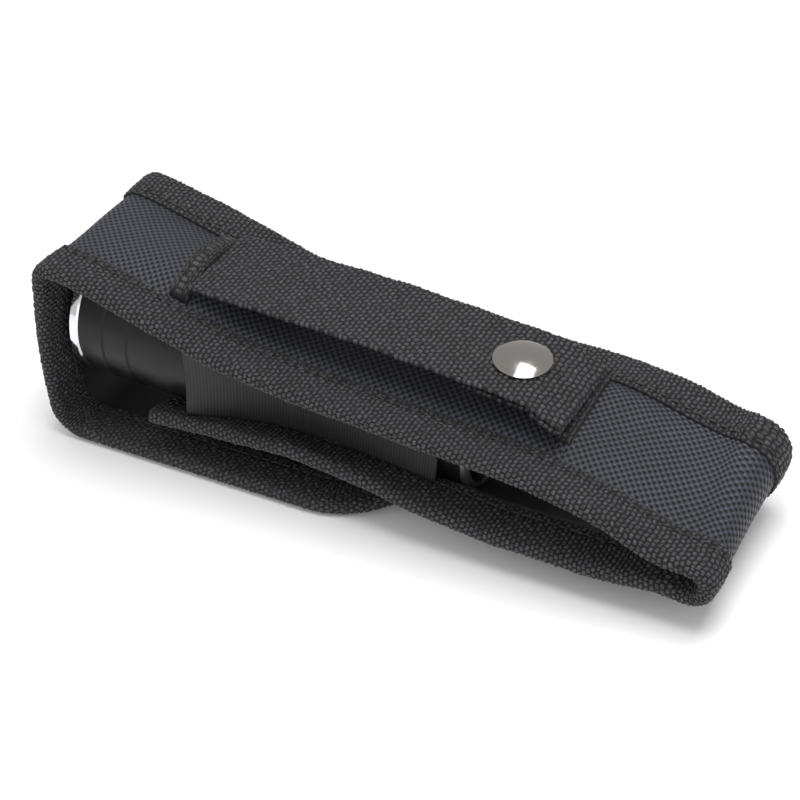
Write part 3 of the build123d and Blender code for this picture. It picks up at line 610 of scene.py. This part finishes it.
# The near-black second colour of each webbing is painted shade for the gaps between its floats.
BINDING = webbing("binding_tape", (0.033, 0.033, 0.038), grey(0.0005), 0.36)
STRAP = webbing("strap_webbing", (0.032, 0.032, 0.037), grey(0.0005), 0.38)
LINER = lining_cloth()
ELASTIC = elastic_cloth()
THREAD = thread_material()
PADDING = foam_material()


def set_relief(made, values):
    """Keeps each point's height in the weave, for the material, which paints shade into the low
    places from it.
    """
    layer = made.data.attributes.new("relief", "FLOAT", "POINT")
    layer.data.foreach_set("value", values.astype(np.float32).ravel())


def dress(made, finish):
    made.data.materials.append(finish)
    return made


# ---- layers of the panels ----
def face_rows(reach, half, pitch, fine_top):
    """Places from -reach to reach across a layer's two faces, finer on the one that shows."""
    fine = np.linspace(-reach, reach, int(2 * half / pitch) + 1)
    bare = np.linspace(-reach, reach, 15)
    return (fine, bare) if fine_top else (bare, fine)


def layer(name, t, half, top, bottom, fine_y, fine_top):
    """One cloth or foam layer of the strip between two depths."""
    top_y, bottom_y = face_rows(half, half, fine_y, fine_top)
    upper, n_upper = strip_surface(t, top_y)
    lower, n_lower = strip_surface(t, bottom_y)
    upper = upper - n_upper * top
    lower = (lower - n_lower * bottom)[:, ::-1]
    rings = np.concatenate([upper, lower], 1)
    across = np.concatenate([top_y, bottom_y[::-1]])
    return skin(name, rings, grid_uv(t[:, None], across[None, :]))


UNDER_TAPE = 0.8            # cloth runs a little under the binding tape
COVER = SHOULDER + UNDER_TAPE
CLOTH_ROW, FOAM_ROW = 0.8, 1.6
FOAM_GAP, FOAM_INSET = 0.05, 0.5
strip_t = rows_between(UNDER_TAPE, WALL_T, CLOTH_ROW)
lower_wall_t = rows_between(WALL_T, STRIP_LENGTH, CLOTH_ROW)


def flap_half(x, inset):
    """Half width of the flap at x, with its edges moved in."""
    radius = FLAP_TIP_RADIUS - inset
    centre = flap_x + FLAP_LENGTH - FLAP_TIP_RADIUS
    bend = np.clip((x - centre) / radius, 0, 1)
    return STRIP_HALF - FLAP_TIP_RADIUS + radius * np.sqrt(1 - bend**2)


def flap_rows(inset):
    """Places along the flap, closer together round its tip."""
    straight_end = flap_x + FLAP_LENGTH - FLAP_TIP_RADIUS
    straight = rows_between(flap_x, straight_end, CLOTH_ROW)
    angles = np.linspace(0, math.pi / 2, 34)[1:-1]
    bend = straight_end + (FLAP_TIP_RADIUS - inset) * np.sin(angles)
    return np.concatenate([straight[1:], bend])


def flap_layer(name, half, inset, top, bottom, fine_y, fine_top):
    """A layer that comes down the end wall and lies flat as the flap."""
    x = flap_rows(inset)
    halves = np.minimum(flap_half(x, inset), half)
    sides = []
    for v, depth in zip(face_rows(1, half, fine_y, fine_top), (top, bottom)):
        wall, normals = strip_surface(lower_wall_t, v * half)
        wall = wall - normals * depth
        flat = np.stack(np.broadcast_arrays(x[:, None], halves[:, None] * v[None], depth), -1)
        sides.append(np.concatenate([wall, flat]))
    upper, lower = sides
    rings = np.concatenate([upper, lower[:, ::-1]], 1)
    travel = np.concatenate([lower_wall_t, STRIP_LENGTH + x - flap_x])
    return skin(name, rings, grid_uv(travel[:, None], rings[..., 1]))


def across_top_fold(made):
    """Bakes a piece's placement into its mesh at the fold between the back panel and the end wall.
    """
    start = place(FLAP_HINGE_U + 2.0, 0, HINGE_W)
    end = place(FLAP_HINGE_U - 3.5, 0, HINGE_W)
    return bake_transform(made)


def across_foot_fold(made):
    """Bakes a piece's placement into its mesh at the fold between the end wall and the flap."""
    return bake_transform(made)


def make_layers():
    foam = (FOAM_TOP + FOAM_GAP, LINING_TOP - FOAM_GAP, FOAM_ROW, True)
    outer = (SHELL_TOP, FOAM_TOP, CLOTH_ROW, True)
    inner = (LINING_TOP, LINING_FACE, CLOTH_ROW, False)

    shell = dress(layer("panel_cloth", strip_t, COVER, *outer), CLOTH)
    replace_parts(across_top_fold(shell), "back_shell", "front_shell")
    foam_t = rows_between(UNDER_TAPE, WALL_T, FOAM_ROW)
    padding = layer("panel_padding", foam_t, CORE_HALF - FOAM_INSET, *foam)
    dress(padding, PADDING)
    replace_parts(across_top_fold(padding), "back_foam", "front_foam")
    lining = dress(layer("panel_lining", strip_t, COVER, *inner), LINER)
    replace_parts(across_top_fold(lining), "back_lining", "front_lining")

    flap_cover = (COVER, FLAP_TAPE - UNDER_TAPE)
    flap = dress(flap_layer("flap_cloth", *flap_cover, *outer), CLOTH)
    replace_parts(across_foot_fold(flap), "flap_shell", "end_wall_shell")
    stuffing = flap_layer("flap_padding", CORE_HALF - FOAM_INSET, TAPE + FOAM_INSET, *foam)
    dress(stuffing, PADDING)
    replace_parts(across_foot_fold(stuffing), "flap_foam", "end_wall_foam")
    inside = dress(flap_layer("flap_inner_lining", *flap_cover, *inner), LINER)
    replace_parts(across_foot_fold(inside), "flap_lining", "end_wall_lining")


# ---- bindings ----
TAPE_ALONG, TAPE_ACROSS, TAPE_RELIEF = 1.25, 1.5, 0.42
STITCH_INSET, STITCH_PITCH = 2.0, 3.1
GROOVE, PUCKER, PUFF = -0.16, 0.16, 0.32        # under the stitches, between them, beside them
TAPE_ROW, FLAP_TAPE_ROW = 0.25, 0.45


def tape_section(width):
    """Loop of (inset from the edge, depth, outward direction, distance) round the U."""
    radius = THICK / 2
    flat = width - radius
    bend = math.pi * radius
    outside = np.arange(0, 2 * flat + bend, TAPE_ROW)
    loop = []
    for c in outside:
        if c < flat:
            loop.append((width - c, 0.0, 0.0, 1.0, c))
        elif c < flat + bend:
            a = (c - flat) / radius
            loop.append((radius - radius * math.sin(a), radius - radius * math.cos(a),
                         -math.sin(a), math.cos(a), c))
        else:
            loop.append((radius + c - flat - bend, THICK, 0.0, -1.0, c))
    total = 2 * flat + bend
    loop.append((width, THICK, 0.0, -1.0, total))
    inner = [(width, THICK - TAPE), (radius + 1, THICK - TAPE), (TAPE + 0.2, radius),
             (radius + 1, TAPE), (width, TAPE)]
    loop += [(a, d, 0.0, 0.0, total) for a, d in inner]
    return np.array(loop)


def tape_frames(edge, shoulder, sign):
    """Directions across and out of a tape along it, and the tape's width there."""
    inward = shoulder - edge
    width = np.linalg.norm(inward, axis=1, keepdims=True)
    inward = inward / width
    forward = unit(np.gradient(edge, axis=0) + np.gradient(shoulder, axis=0))
    outward = unit(np.cross(inward, forward)) * sign
    return inward, width, outward


def binding(name, edge, shoulder, sign, width, travel):
    """Folded tape sewn over an edge, with its weave, puckers and stitch groove."""
    section = tape_section(width)
    inward, widths, outward = tape_frames(edge, shoulder, sign)
    a, d, out_a, out_n, c = section.T
    s = travel[:, None]
    from_stitch = (a - (width - STITCH_INSET))[None, :]
    groove = GROOVE * np.exp(-((from_stitch / 0.7) ** 2))
    pull = PUCKER * np.cos(2 * np.pi * s / STITCH_PITCH) * np.exp(-((from_stitch / 2.4) ** 2))
    puff = PUFF * np.sin(np.pi * np.clip(a / width, 0, 1))[None, :]
    weave = weave_relief(s, c[None, :], TAPE_ALONG, TAPE_ACROSS)
    rough = weave * (1 + 0.35 * grain(s, c[None, :], len(name)))
    visible = ((out_a != 0) | (out_n != 0)).astype(float)[None, :]
    lift = visible * (TAPE_RELIEF * (rough - 0.6) + groove + pull + puff - 0.1)
    stretch = widths / width
    points = edge[:, None, :] + inward[:, None, :] * (a[None, :] * stretch)[..., None]
    points = points - outward[:, None, :] * d[None, :, None]
    direction = inward[:, None, :] * out_a[None, :, None]
    direction = direction + outward[:, None, :] * out_n[None, :, None]
    points = points + direction * lift[..., None]
    # The stitch groove and puckers move this relief, so the tape's colour paints shade into the
    # groove and the pucker hollows.
    relief = np.clip(rough + 1.2 * (groove + 0.5 * pull), 0, 1) * np.ones_like(points[..., 0])
    made = skin(name, points[:, ::sign], grid_uv(s, c[None, :])[:, ::sign])
    set_relief(made, relief[:, ::sign])
    return made


def thread_piece(p, q, up, radius):
    """One stitch: a short thread that dives into the cloth at both ends."""
    rows, around = 7, 6
    run = q - p
    sideways = unit(np.cross(run, up))
    points = []
    for k in range(rows):
        x = k / (rows - 1)
        rise = radius * 1.1 * math.sin(math.pi * x) - radius * 0.7
        girth = radius * (0.55 + 0.45 * math.sin(math.pi * x))
        centre = p + run * x + up * rise
        for j in range(around):
            angle = 2 * math.pi * j / around
            points.append(centre + (sideways * math.cos(angle) + up * math.sin(angle)) * girth)
    return np.array(points), ring_index(rows, around)[1]


def stitch_row(line, ups, lift, pitch=STITCH_PITCH, share=0.74, radius=0.24):
    """Stitches along a line of points, with the way out of the cloth at each."""
    travel = distances(line)

    def at(d, values):
        return np.array([np.interp(d, travel, values[:, k]) for k in range(3)])

    found = []
    for k in range(int(travel[-1] / pitch)):
        start = (k + 0.5 * (1 - share)) * pitch
        end = start + pitch * share
        up = unit(at(start + pitch * share / 2, ups))
        p, q = at(start, line) + up * lift, at(end, line) + up * lift
        found.append(thread_piece(p, q, up, radius))
    return found


def binding_stitches(name, edge, shoulder, sign, width):
    """The stitches of a binding on both its faces."""
    inward, widths, outward = tape_frames(edge, shoulder, sign)
    base = edge + inward * (width - STITCH_INSET) * widths / width
    over = stitch_row(base, outward, 0.04)
    under = stitch_row(base - outward * THICK, -outward, 0.12)
    return joined(name, over + under)


def side_lines(t, sign):
    """Edge and shoulder lines of the strip's near (-1) or far (1) side."""
    points, _ = strip_surface(t, np.array([-STRIP_HALF, -SHOULDER, 0, SHOULDER, STRIP_HALF]))
    return (points[:, 0], points[:, 1]) if sign < 0 else (points[:, 4], points[:, 3])


def flap_lines(width):
    """Edge and shoulder lines down the near side of the wall, round the tip and back."""
    near_edge, near_shoulder = side_lines(lower_tape_t, -1)
    far_edge, far_shoulder = side_lines(lower_tape_t, 1)
    tip = flap_x + FLAP_LENGTH - FLAP_TIP_RADIUS
    straight = rows_between(flap_x, tip, FLAP_TAPE_ROW)[1:]
    lines = []
    for inset, near, far in ((0, near_edge, far_edge), (width, near_shoulder, far_shoulder)):
        half = STRIP_HALF - inset
        radius = FLAP_TIP_RADIUS - inset
        corner = STRIP_HALF - FLAP_TIP_RADIUS
        angles = np.linspace(-math.pi / 2, 0, 80)[1:]
        arc = np.stack([tip + radius * np.cos(angles), -corner + radius * np.sin(angles)], -1)
        top = np.linspace(-corner, corner, 6)[1:-1]
        flat = np.stack([np.full(len(top), tip + radius), top], -1)
        side = np.stack([straight, np.full(len(straight), -half)], -1)
        first = np.concatenate([side, arc])
        plan = np.concatenate([first, flat, (first * (1, -1))[::-1]])
        plan = np.concatenate([plan, np.zeros((len(plan), 1))], 1)
        lines.append(np.concatenate([near, plan, far[::-1]]))
    return lines


tape_t = rows_between(0.0, WALL_T, TAPE_ROW)
lower_tape_t = rows_between(WALL_T, STRIP_LENGTH, TAPE_ROW)


def sew_tape(name, lines, sign, width, travel, move, nodes):
    """A binding with its stitches: move is applied to both."""
    edge, shoulder = lines
    tape = binding(f"{name}_tape", edge, shoulder, sign, width, travel)
    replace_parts(move(dress(tape, BINDING)), *nodes)
    threads = binding_stitches(f"{name}_stitches", edge, shoulder, sign, width)
    move(threads)


def make_bindings():
    for side, sign in (("near", -1), ("far", 1)):
        sew_tape(f"{side}_edge", side_lines(tape_t, sign), -sign, STRIP_HALF - SHOULDER, tape_t,
                 across_top_fold, [f"{side}_edge_binding"])
    lines = flap_lines(FLAP_TAPE)
    sew_tape("flap_edge", lines, 1, FLAP_TAPE, distances(lines[0]), across_foot_fold,
             ["flap_binding", "end_wall_near_binding", "end_wall_far_binding"])


def panel_w(stations, u, y):
    """Height over the torch axis of a panel's face."""
    knots = np.array([station[0] for station in stations], float)
    rows = np.array([station[1:] for station in stations], float)
    centre, shoulder, edge = hermite(knots, rows, np.atleast_1d(np.array(u, float))).T
    reach = np.abs(y)
    w = centre + (shoulder - centre) * np.minimum(reach / SHOULDER, 1) ** 2
    return w + (edge - shoulder) * np.maximum(reach - SHOULDER, 0) / (STRIP_HALF - SHOULDER)


def front_point(u, y, drop):
    """Point on the pouch's front panel, a depth below its inner face."""
    return place(np.atleast_1d(u), y, panel_w(FRONT, u, y) - drop) / MM


def back_point(u, y, drop):
    """Point on the back panel, a depth below its outer face."""
    rise = FAR_RISE * np.interp(u, RISE_AT, RISE_SHARE) * far_share(y) + swell(np.array(u), y)
    return place(np.atleast_1d(u), y, panel_w(BACK, u, y) + rise - drop) / MM


def on_holster(made):
    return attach(made, "holster")


MOUTH_U, MOUTH_TAPE, MOUTH_TAPE_END, MOUTH_DROP = 23.9, 10.8, 34.0, 0.7


def make_mouth():
    y = rows_between(-SHOULDER, SHOULDER, TAPE_ROW)
    edge, shoulder = (np.concatenate([front_point(u, v, THICK) for v in y])
                      for u in (MOUTH_U, MOUTH_TAPE_END))
    edge[:, 0] -= MOUTH_DROP
    sew_tape("mouth", (edge, shoulder), -1, MOUTH_TAPE, y + 20, on_holster, ["mouth_binding"])


# ---- elastics ----
ELASTIC_U, ELASTIC_LENGTH, ELASTIC_SEAM = (34, 102), 69, 0.25
PLAN_U, PLAN_AT, PLAN_HALF = 33.9, (0, 14, 69.0), (21.4, 16.6, 16.0)    # its line seen from above
ELASTIC_THICK, RIB_PITCH, RIB, TUCK = 1.0, 0.8, 0.14, 0.9


def make_elastics():
    u = rows_between(*ELASTIC_U, 0.2)
    along = np.clip(u - PLAN_U, 0, PLAN_AT[-1])
    plan = hermite(np.array(PLAN_AT), np.array(PLAN_HALF)[:, None], along)[:, 0]
    ribs = np.abs(np.sin(np.pi * u / RIB_PITCH)) ** 0.6
    v = np.linspace(0, 1, 14)
    for side, sign in (("near", -1), ("far", 1)):
        y = sign * plan
        top = back_point(u, y, THICK - ELASTIC_SEAM)
        low = front_point(u, y, ELASTIC_SEAM)
        outward = np.array((0, sign, 0.0))
        sheet = top[:, None, :] + (low - top)[:, None, :] * v[None, :, None]
        tuck = TUCK * np.sin(np.pi * v)[None, :] * np.ones((len(u), 1))
        outer = sheet + outward * (RIB * ribs[:, None] - tuck)[..., None]
        inner = sheet - outward * (ELASTIC_THICK + RIB * ribs[:, None] + tuck)[..., None]
        rings = np.concatenate([outer, inner[:, ::-1]], 1)
        rings = rings[:, ::sign]
        made = skin(f"{side}_side_elastic", rings)
        set_relief(made, np.repeat(ribs[:, None], rings.shape[1], 1))
        dress(made, ELASTIC)
        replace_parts(on_holster(made), f"{side}_elastic")


# ---- belt strap ----
STRAP_HALF, WEB, WEB_ROW = 12.8, 1.5, 0.27
STRAP_ALONG, STRAP_ACROSS, STRAP_RELIEF = 1.35, 1.6, 0.42
STRAP_LINE = np.array([(30.9, 23.8), (52, 25.2), (78, 26.6), (122, 26.6), (131.0, 22.6)])
BASE_LINE = np.array([(104, 20.3), (121, 20.3), (126.5, 19.3), (130.0, 18.7)])
STRAP_HEM, STRAP_TURN = 7.0, 0.78
HEM_U, HEM_RISE = (25.4, 30.6), 3.0
BASE_HALF, BASE_FOOT, BASE_FOOT_HALF, FOOT_RISE, FOOT_SHIFT = 8.0, (129.5, 132.8), 10.8, 1.5, 1.6
HEM_SEAMS, HEM_SEAM_RISE = (26.8, 29.2), 2.55
END_SEAM = (126.0, 24.5)
FOOT_SEAM, FOOT_SEAM_RISE, FOLD_SEAM = 132.6, 1.35, 130.2


def web_ring(half, thick, step):
    """Loop round flat webbing: (y, height from its middle, normal y, normal h, distance)."""
    flat = np.linspace(-half + 0.5, half - 0.5, int(2 * half / step))
    over = [(y, thick / 2, 0.0, 1.0, y + 40) for y in flat]
    turn = [(half - 0.5 + 0.5 * math.cos(a), thick / 2 * math.sin(a), math.cos(a), math.sin(a), 53)
            for a in np.linspace(math.pi / 2, -math.pi / 2, 7)[1:-1]]
    under = [(y, -thick / 2, 0.0, -1.0, y + 40) for y in flat[::-1]]
    back = [(-y, h, -out_y, out_h, 27) for y, h, out_y, out_h, _ in turn[::-1]]
    return np.array(over + turn + under + back)


def web_mesh(name, line, half):
    """Flat webbing along a centre line of (u, w) points."""
    travel = distances(line)
    s = rows_between(0, travel[-1], WEB_ROW)
    path = np.stack([np.interp(s, travel, line[:, k]) for k in range(2)], -1)
    for _ in range(12):
        path[1:-1] = (path[:-2] + 2 * path[1:-1] + path[2:]) / 4
    forward = unit(np.gradient(path, axis=0))
    up = np.stack([-forward[:, 1], forward[:, 0]], -1)
    y, h, out_y, out_h, c = web_ring(half, WEB - 0.3, WEB_ROW).T
    weave = weave_relief(s[:, None], c[None, :], STRAP_ALONG, STRAP_ACROSS)
    rough = weave * (1 + 0.3 * grain(s[:, None], c[None, :], 3.0))
    lift = STRAP_RELIEF * (rough - 0.45)
    height = h[None, :] + out_h[None, :] * lift
    u = path[:, None, 0] + up[:, None, 0] * height
    w = path[:, None, 1] + up[:, None, 1] * height
    across = y[None, :] + out_y[None, :] * lift * 0.6 + 0.12 * np.sin(s * 0.4)[:, None]
    points = place(u, across, w) / MM
    made = skin(name, points, grid_uv(s[:, None], c[None, :]))
    set_relief(made, rough * np.ones_like(u))
    return made


def folded_line(line, hem, radius):
    """A top line moved to the webbing's middle, turned under at its end."""
    middle = line - (0, WEB / 2)
    end, before = middle[-1], middle[-2]
    forward = (end - before) / np.linalg.norm(end - before)
    down = np.array((forward[1], -forward[0]))
    turn = [end + down * radius + radius * (math.sin(a) * forward - math.cos(a) * down)
            for a in np.linspace(0, math.pi, 9)[1:]]
    back = turn[-1] - forward * hem
    return np.concatenate([middle, turn, [back]])


def across_strap_foot(made):
    """Bakes the strap's placement into its mesh, where it leaves its sewn hem."""
    start, end = place(30.4, 0, 23), place(35.5, 0, 23)
    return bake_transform(made)


def hem_bar(name, ends, rise, half, grooves=1, shift=0.0):
    """A sewn-down end of webbing: a rounded bar across the panel."""
    y = rows_between(-half, half, 0.35)
    rings, uvs, reliefs = [], [], []
    angles = np.linspace(0, math.pi, 22)
    for v in y:
        base = back_point(list(ends), v + shift, SHELL_TOP)
        middle = base.mean(0)
        forward = base[1] - base[0]
        end = min(1.0, half - abs(v))
        tall = rise * (0.72 + 0.28 * math.sqrt(max(end, 0)))
        ring = []
        for a in angles:
            k = np.sign(math.cos(a)) * abs(math.cos(a)) ** 0.55
            h = math.sin(a) ** 0.45
            c = a / math.pi * 9
            bumpy = weave_relief(c, v + 40, STRAP_ALONG, STRAP_ACROSS)
            groove = -0.5 * grooves * math.exp(-(((abs(k) - 0.45) / 0.14) ** 2))
            lift = 0.24 * (bumpy - 0.5) + groove
            ring.append(middle - forward / 2 * k * 1.02 + UP * (h * (tall + lift)))
            uvs.append((v, c))
            # The groove lowers the relief, so the webbing colour paints shade along it.
            reliefs.append(bumpy + groove)
        rings.append(ring)
    made = skin(name, np.array(rings), np.array(uvs).reshape(len(y), len(angles), 2))
    set_relief(made, np.clip(np.array(reliefs), 0, 1))
    return made


def seam(line, lift, pitch, share, radius):
    """Stitches along a line over the back panel."""
    return stitch_row(line, np.tile(UP, (len(line), 1)), lift, pitch, share, radius)


def panel_line(u, half, rise=0.0):
    """Line across the back panel at u, raised over its cloth."""
    y = rows_between(-half, half, 1.0)
    return np.concatenate([back_point(u, v, SHELL_TOP) for v in y]) + UP * rise


def strap_threads(name, rows, body):
    threads = joined(name, rows)
    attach(threads, body)
    return threads


def make_strap():
    line = folded_line(STRAP_LINE, STRAP_HEM, STRAP_TURN)
    strap = dress(web_mesh("belt_loop_webbing", line, STRAP_HALF), STRAP)
    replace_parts(across_strap_foot(strap), "belt_strap")
    hem = dress(hem_bar("strap_hem_fold", HEM_U, HEM_RISE, STRAP_HALF), STRAP)
    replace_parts(on_holster(hem), "strap_hem")
    base = web_mesh("strap_base_webbing", BASE_LINE - (0, WEB / 2), BASE_HALF)
    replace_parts(on_holster(dress(base, STRAP)), "strap_base")
    foot = hem_bar("strap_base_foot", BASE_FOOT, FOOT_RISE, BASE_FOOT_HALF, 0, FOOT_SHIFT)
    on_holster(dress(foot, STRAP))

    seam_half = STRAP_HALF - 0.8
    rows = []
    for u in HEM_SEAMS:
        rows += seam(panel_line(u, seam_half, HEM_SEAM_RISE), 0.0, 2.4, 0.8, 0.3)
    hem_threads = strap_threads("strap_hem_stitches", rows, "holster")
    y = rows_between(-seam_half, seam_half, 1.0)
    rows = seam(place(END_SEAM[0], y, END_SEAM[1]) / MM, 0.1, 2.6, 0.76, 0.26)
    end_threads = strap_threads("strap_end_stitches", rows, "belt_loop_strap")
    rows = seam(panel_line(FOOT_SEAM, seam_half, FOOT_SEAM_RISE), 0.1, 2.4, 0.8, 0.28)
    rows += seam(panel_line(FOLD_SEAM, SHOULDER + 0.5), 0.05, 2.8, 0.78, 0.26)
    base_threads = strap_threads("strap_base_stitches", rows, "holster")


# ---- hook and loop ----
def pile_patch(name, point_at, u0, u1, half, outward, thick, strength):
    """Low pad with an uneven pile on its outer face."""
    u = rows_between(u0, u1, 0.45)
    y = rows_between(-half, half, 0.45)
    rings = []
    for a in u:
        foot = np.concatenate([point_at(a, v) for v in y])
        edge = np.minimum(1, np.minimum((half - np.abs(y)) / 0.8, min(a - u0, u1 - a) / 0.8 + 0.2))
        tuft = np.sin(a * 7.1 + y * 2.3) * np.sin(a * 3.7 - y * 6.1) * np.sin(y * 8.9 + a)
        height = thick * (0.55 + 0.35 * np.clip(edge, 0, 1)) + strength * tuft
        top = foot + np.array(outward) * height[:, None]
        rings.append(np.concatenate([top, foot[::-1]]))
    return skin(name, np.array(rings))


LOOP_U, PAD_HALF, PAD_FLAT = (56.2, 79.8), 9.9, (23.6 * MM, 19.8 * MM)


def make_patches():
    def under_pouch(u, y):
        return front_point(u, y, LINING_FACE - 0.05)

    def on_flap(x, y):
        return np.array([[x, y, low[2] / MM + 0.05]])

    loop = pile_patch("pouch_loop_pile", under_pouch, *LOOP_U, PAD_HALF, -UP, 1.0, 0.09)
    dress(loop, pile_material("loop_pile", (0.03, 0.03, 0.032), 1700))
    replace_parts(on_holster(loop), "pouch_loop_patch")
    low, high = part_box("flap_hook_patch")
    ends = (low[0] / MM, high[0] / MM)
    hook = pile_patch("flap_hook_pile", on_flap, *ends, PAD_HALF, (0, 0, 1), 1.15, 0.12)
    dress(hook, pile_material("hook_pile", (0.022, 0.022, 0.024), 1300))
    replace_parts(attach(hook, "flap_front"), "flap_hook_patch")


# ---- torch and fastener ----
def finish_metal_and_plastic():
    """Gives the CAD pieces that show as they are their materials."""
    black = anodised("black_anodising", (0.013, 0.013, 0.0145), 0.36, 900)
    chrome = metal("bright_bezel", (0.86, 0.87, 0.89), 0.1, 0.04)
    nickel = metal("polished_nickel", (0.36, 0.335, 0.315), 0.15, 0.05, 420)
    rim = metal("bright_rim", (0.95, 0.95, 0.95), 0.3, 0.05)
    spring = metal("spring_wire", (0.62, 0.6, 0.55), 0.28)
    brass = metal("brass_post", (0.72, 0.55, 0.28), 0.3)
    seal = rubber("seal_rubber", (0.012, 0.012, 0.013))
    boot = rubber("button_rubber", (0.016, 0.016, 0.017))
    board = moulded("white_board", (0.75, 0.76, 0.74), 0.4)
    green = moulded("driver_green", (0.02, 0.12, 0.05), 0.4)
    phosphor = moulded("led_phosphor", (0.85, 0.7, 0.1), 0.3)
    wrap = moulded("cell_wrap", (0.05, 0.14, 0.36), 0.35)
    dark = moulded("switch_housing", (0.02, 0.02, 0.02), 0.45)
    glass, tree, shader = material("lens_glass", (0.95, 0.97, 1.0), 0.04, Transmission_Weight=1.0,
                                   IOR=1.5)
    bump(shader, noise(tree, 500, 2.0), 0.00001, 0.1)
    finishes = (
        (chrome, "bezel_ring"), (rim, "tail_ring"), (glass, "lens"),
        (black, "head_sleeve", "barrel_tube", "tail_cap"), (boot, "button_boot"),
        (seal, "lens_o_ring", "neck_o_ring", "tail_o_ring"), (board, "led_board"),
        (phosphor, "led_emitter"), (green, "driver_board"), (wrap, "battery_cell"),
        (spring, "front_spring", "tail_spring", "battery_cap"),
        (brass, "led_pill", "switch_retainer", "snap_post"),
        (dark, "switch_body", "switch_plunger"), (nickel, "snap_cap", "snap_socket", "snap_stud"),
    )
    for finish, *names in finishes:
        for name in names:
            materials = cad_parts[name].data.materials
            materials.clear()
            materials.append(finish)


# ---- studio ----
CAMERA_PLACE = (195.7, -291.5, 290.7)       # row millimetres
CAMERA_TURN, CAMERA_DIP, CAMERA_ROLL = 0.51, 0.713, 0.009   # radians, in the torch's frame
CAMERA_LENS, CAMERA_SENSOR = 80.87, 36
FLOOR_Z, WORLD_POWER, LIGHT_AIM = -0.0005, 0.6, (0, 0, 0.02)


def torch_to_row(v):
    """A direction in the torch's frame turned into the row's."""
    x = v[0] * math.cos(TILT) + v[2] * math.sin(TILT)
    z = -v[0] * math.sin(TILT) + v[2] * math.cos(TILT)
    return Vector((x, v[1], z))


def make_camera():
    a, e, r = CAMERA_TURN, CAMERA_DIP, CAMERA_ROLL
    forward = Vector((-math.sin(a) * math.cos(e), math.cos(a) * math.cos(e), -math.sin(e)))
    right = Vector((math.cos(a), math.sin(a), 0))
    up = right.cross(forward)
    right, up = (math.cos(r) * right + math.sin(r) * up, math.cos(r) * up - math.sin(r) * right)
    data = bpy.data.cameras.new("camera")
    data.lens = CAMERA_LENS
    data.sensor_width = CAMERA_SENSOR
    data.clip_start, data.clip_end = 0.01, 20
    camera = placed("camera", data)
    columns = [torch_to_row(v) for v in (right, up, -forward)]
    turned = camera.matrix_world.copy()
    for k, column in enumerate([*columns, [value * MM for value in CAMERA_PLACE]]):
        for i in range(3):
            turned[i][k] = column[i]
    camera.matrix_world = turned
    bpy.context.scene.camera = camera


def soft_light(name, position, size, power):
    """A rectangular lamp aimed at the middle of the holster."""
    data = bpy.data.lights.new(name, "AREA")
    data.shape = "RECTANGLE"
    data.size, data.size_y = size
    data.energy = power
    light = placed(name, data)
    light.location = position
    light.rotation_mode = "QUATERNION"
    light.rotation_quaternion = (Vector(LIGHT_AIM) - Vector(position)).to_track_quat("-Z", "Y")


def make_studio():
    bpy.ops.mesh.primitive_plane_add(size=6, location=(0, 0, FLOOR_Z))
    floor = bpy.context.object
    floor.name = "floor"
    pale, tree, shader = material("pale_floor", (0.93, 0.93, 0.93), 0.6)
    tint(shader, noise(tree, 8), [(0.3, grey(0.92)), (0.7, grey(0.94))])
    floor.data.materials.append(pale)
    world = bpy.data.worlds.new("studio")
    world.use_nodes = True
    background = world.node_tree.nodes["Background"]
    background.inputs[0].default_value = (1, 1, 1, 1)
    background.inputs[1].default_value = WORLD_POWER
    bpy.context.scene.world = world
    soft_light("over", (0.2, 0.02, 0.92), (0.62, 0.45), 6.6)
    soft_light("left", (-0.85, -0.4, 0.5), (0.5, 0.4), 1.6)
    soft_light("front", (0.5, -0.8, 0.45), (0.6, 0.3), 1.4)
    bpy.context.scene.view_settings.view_transform = "Standard"


make_camera()
make_studio()
make_layers()
make_bindings()
make_mouth()
make_elastics()
make_strap()
make_patches()
finish_metal_and_plastic()
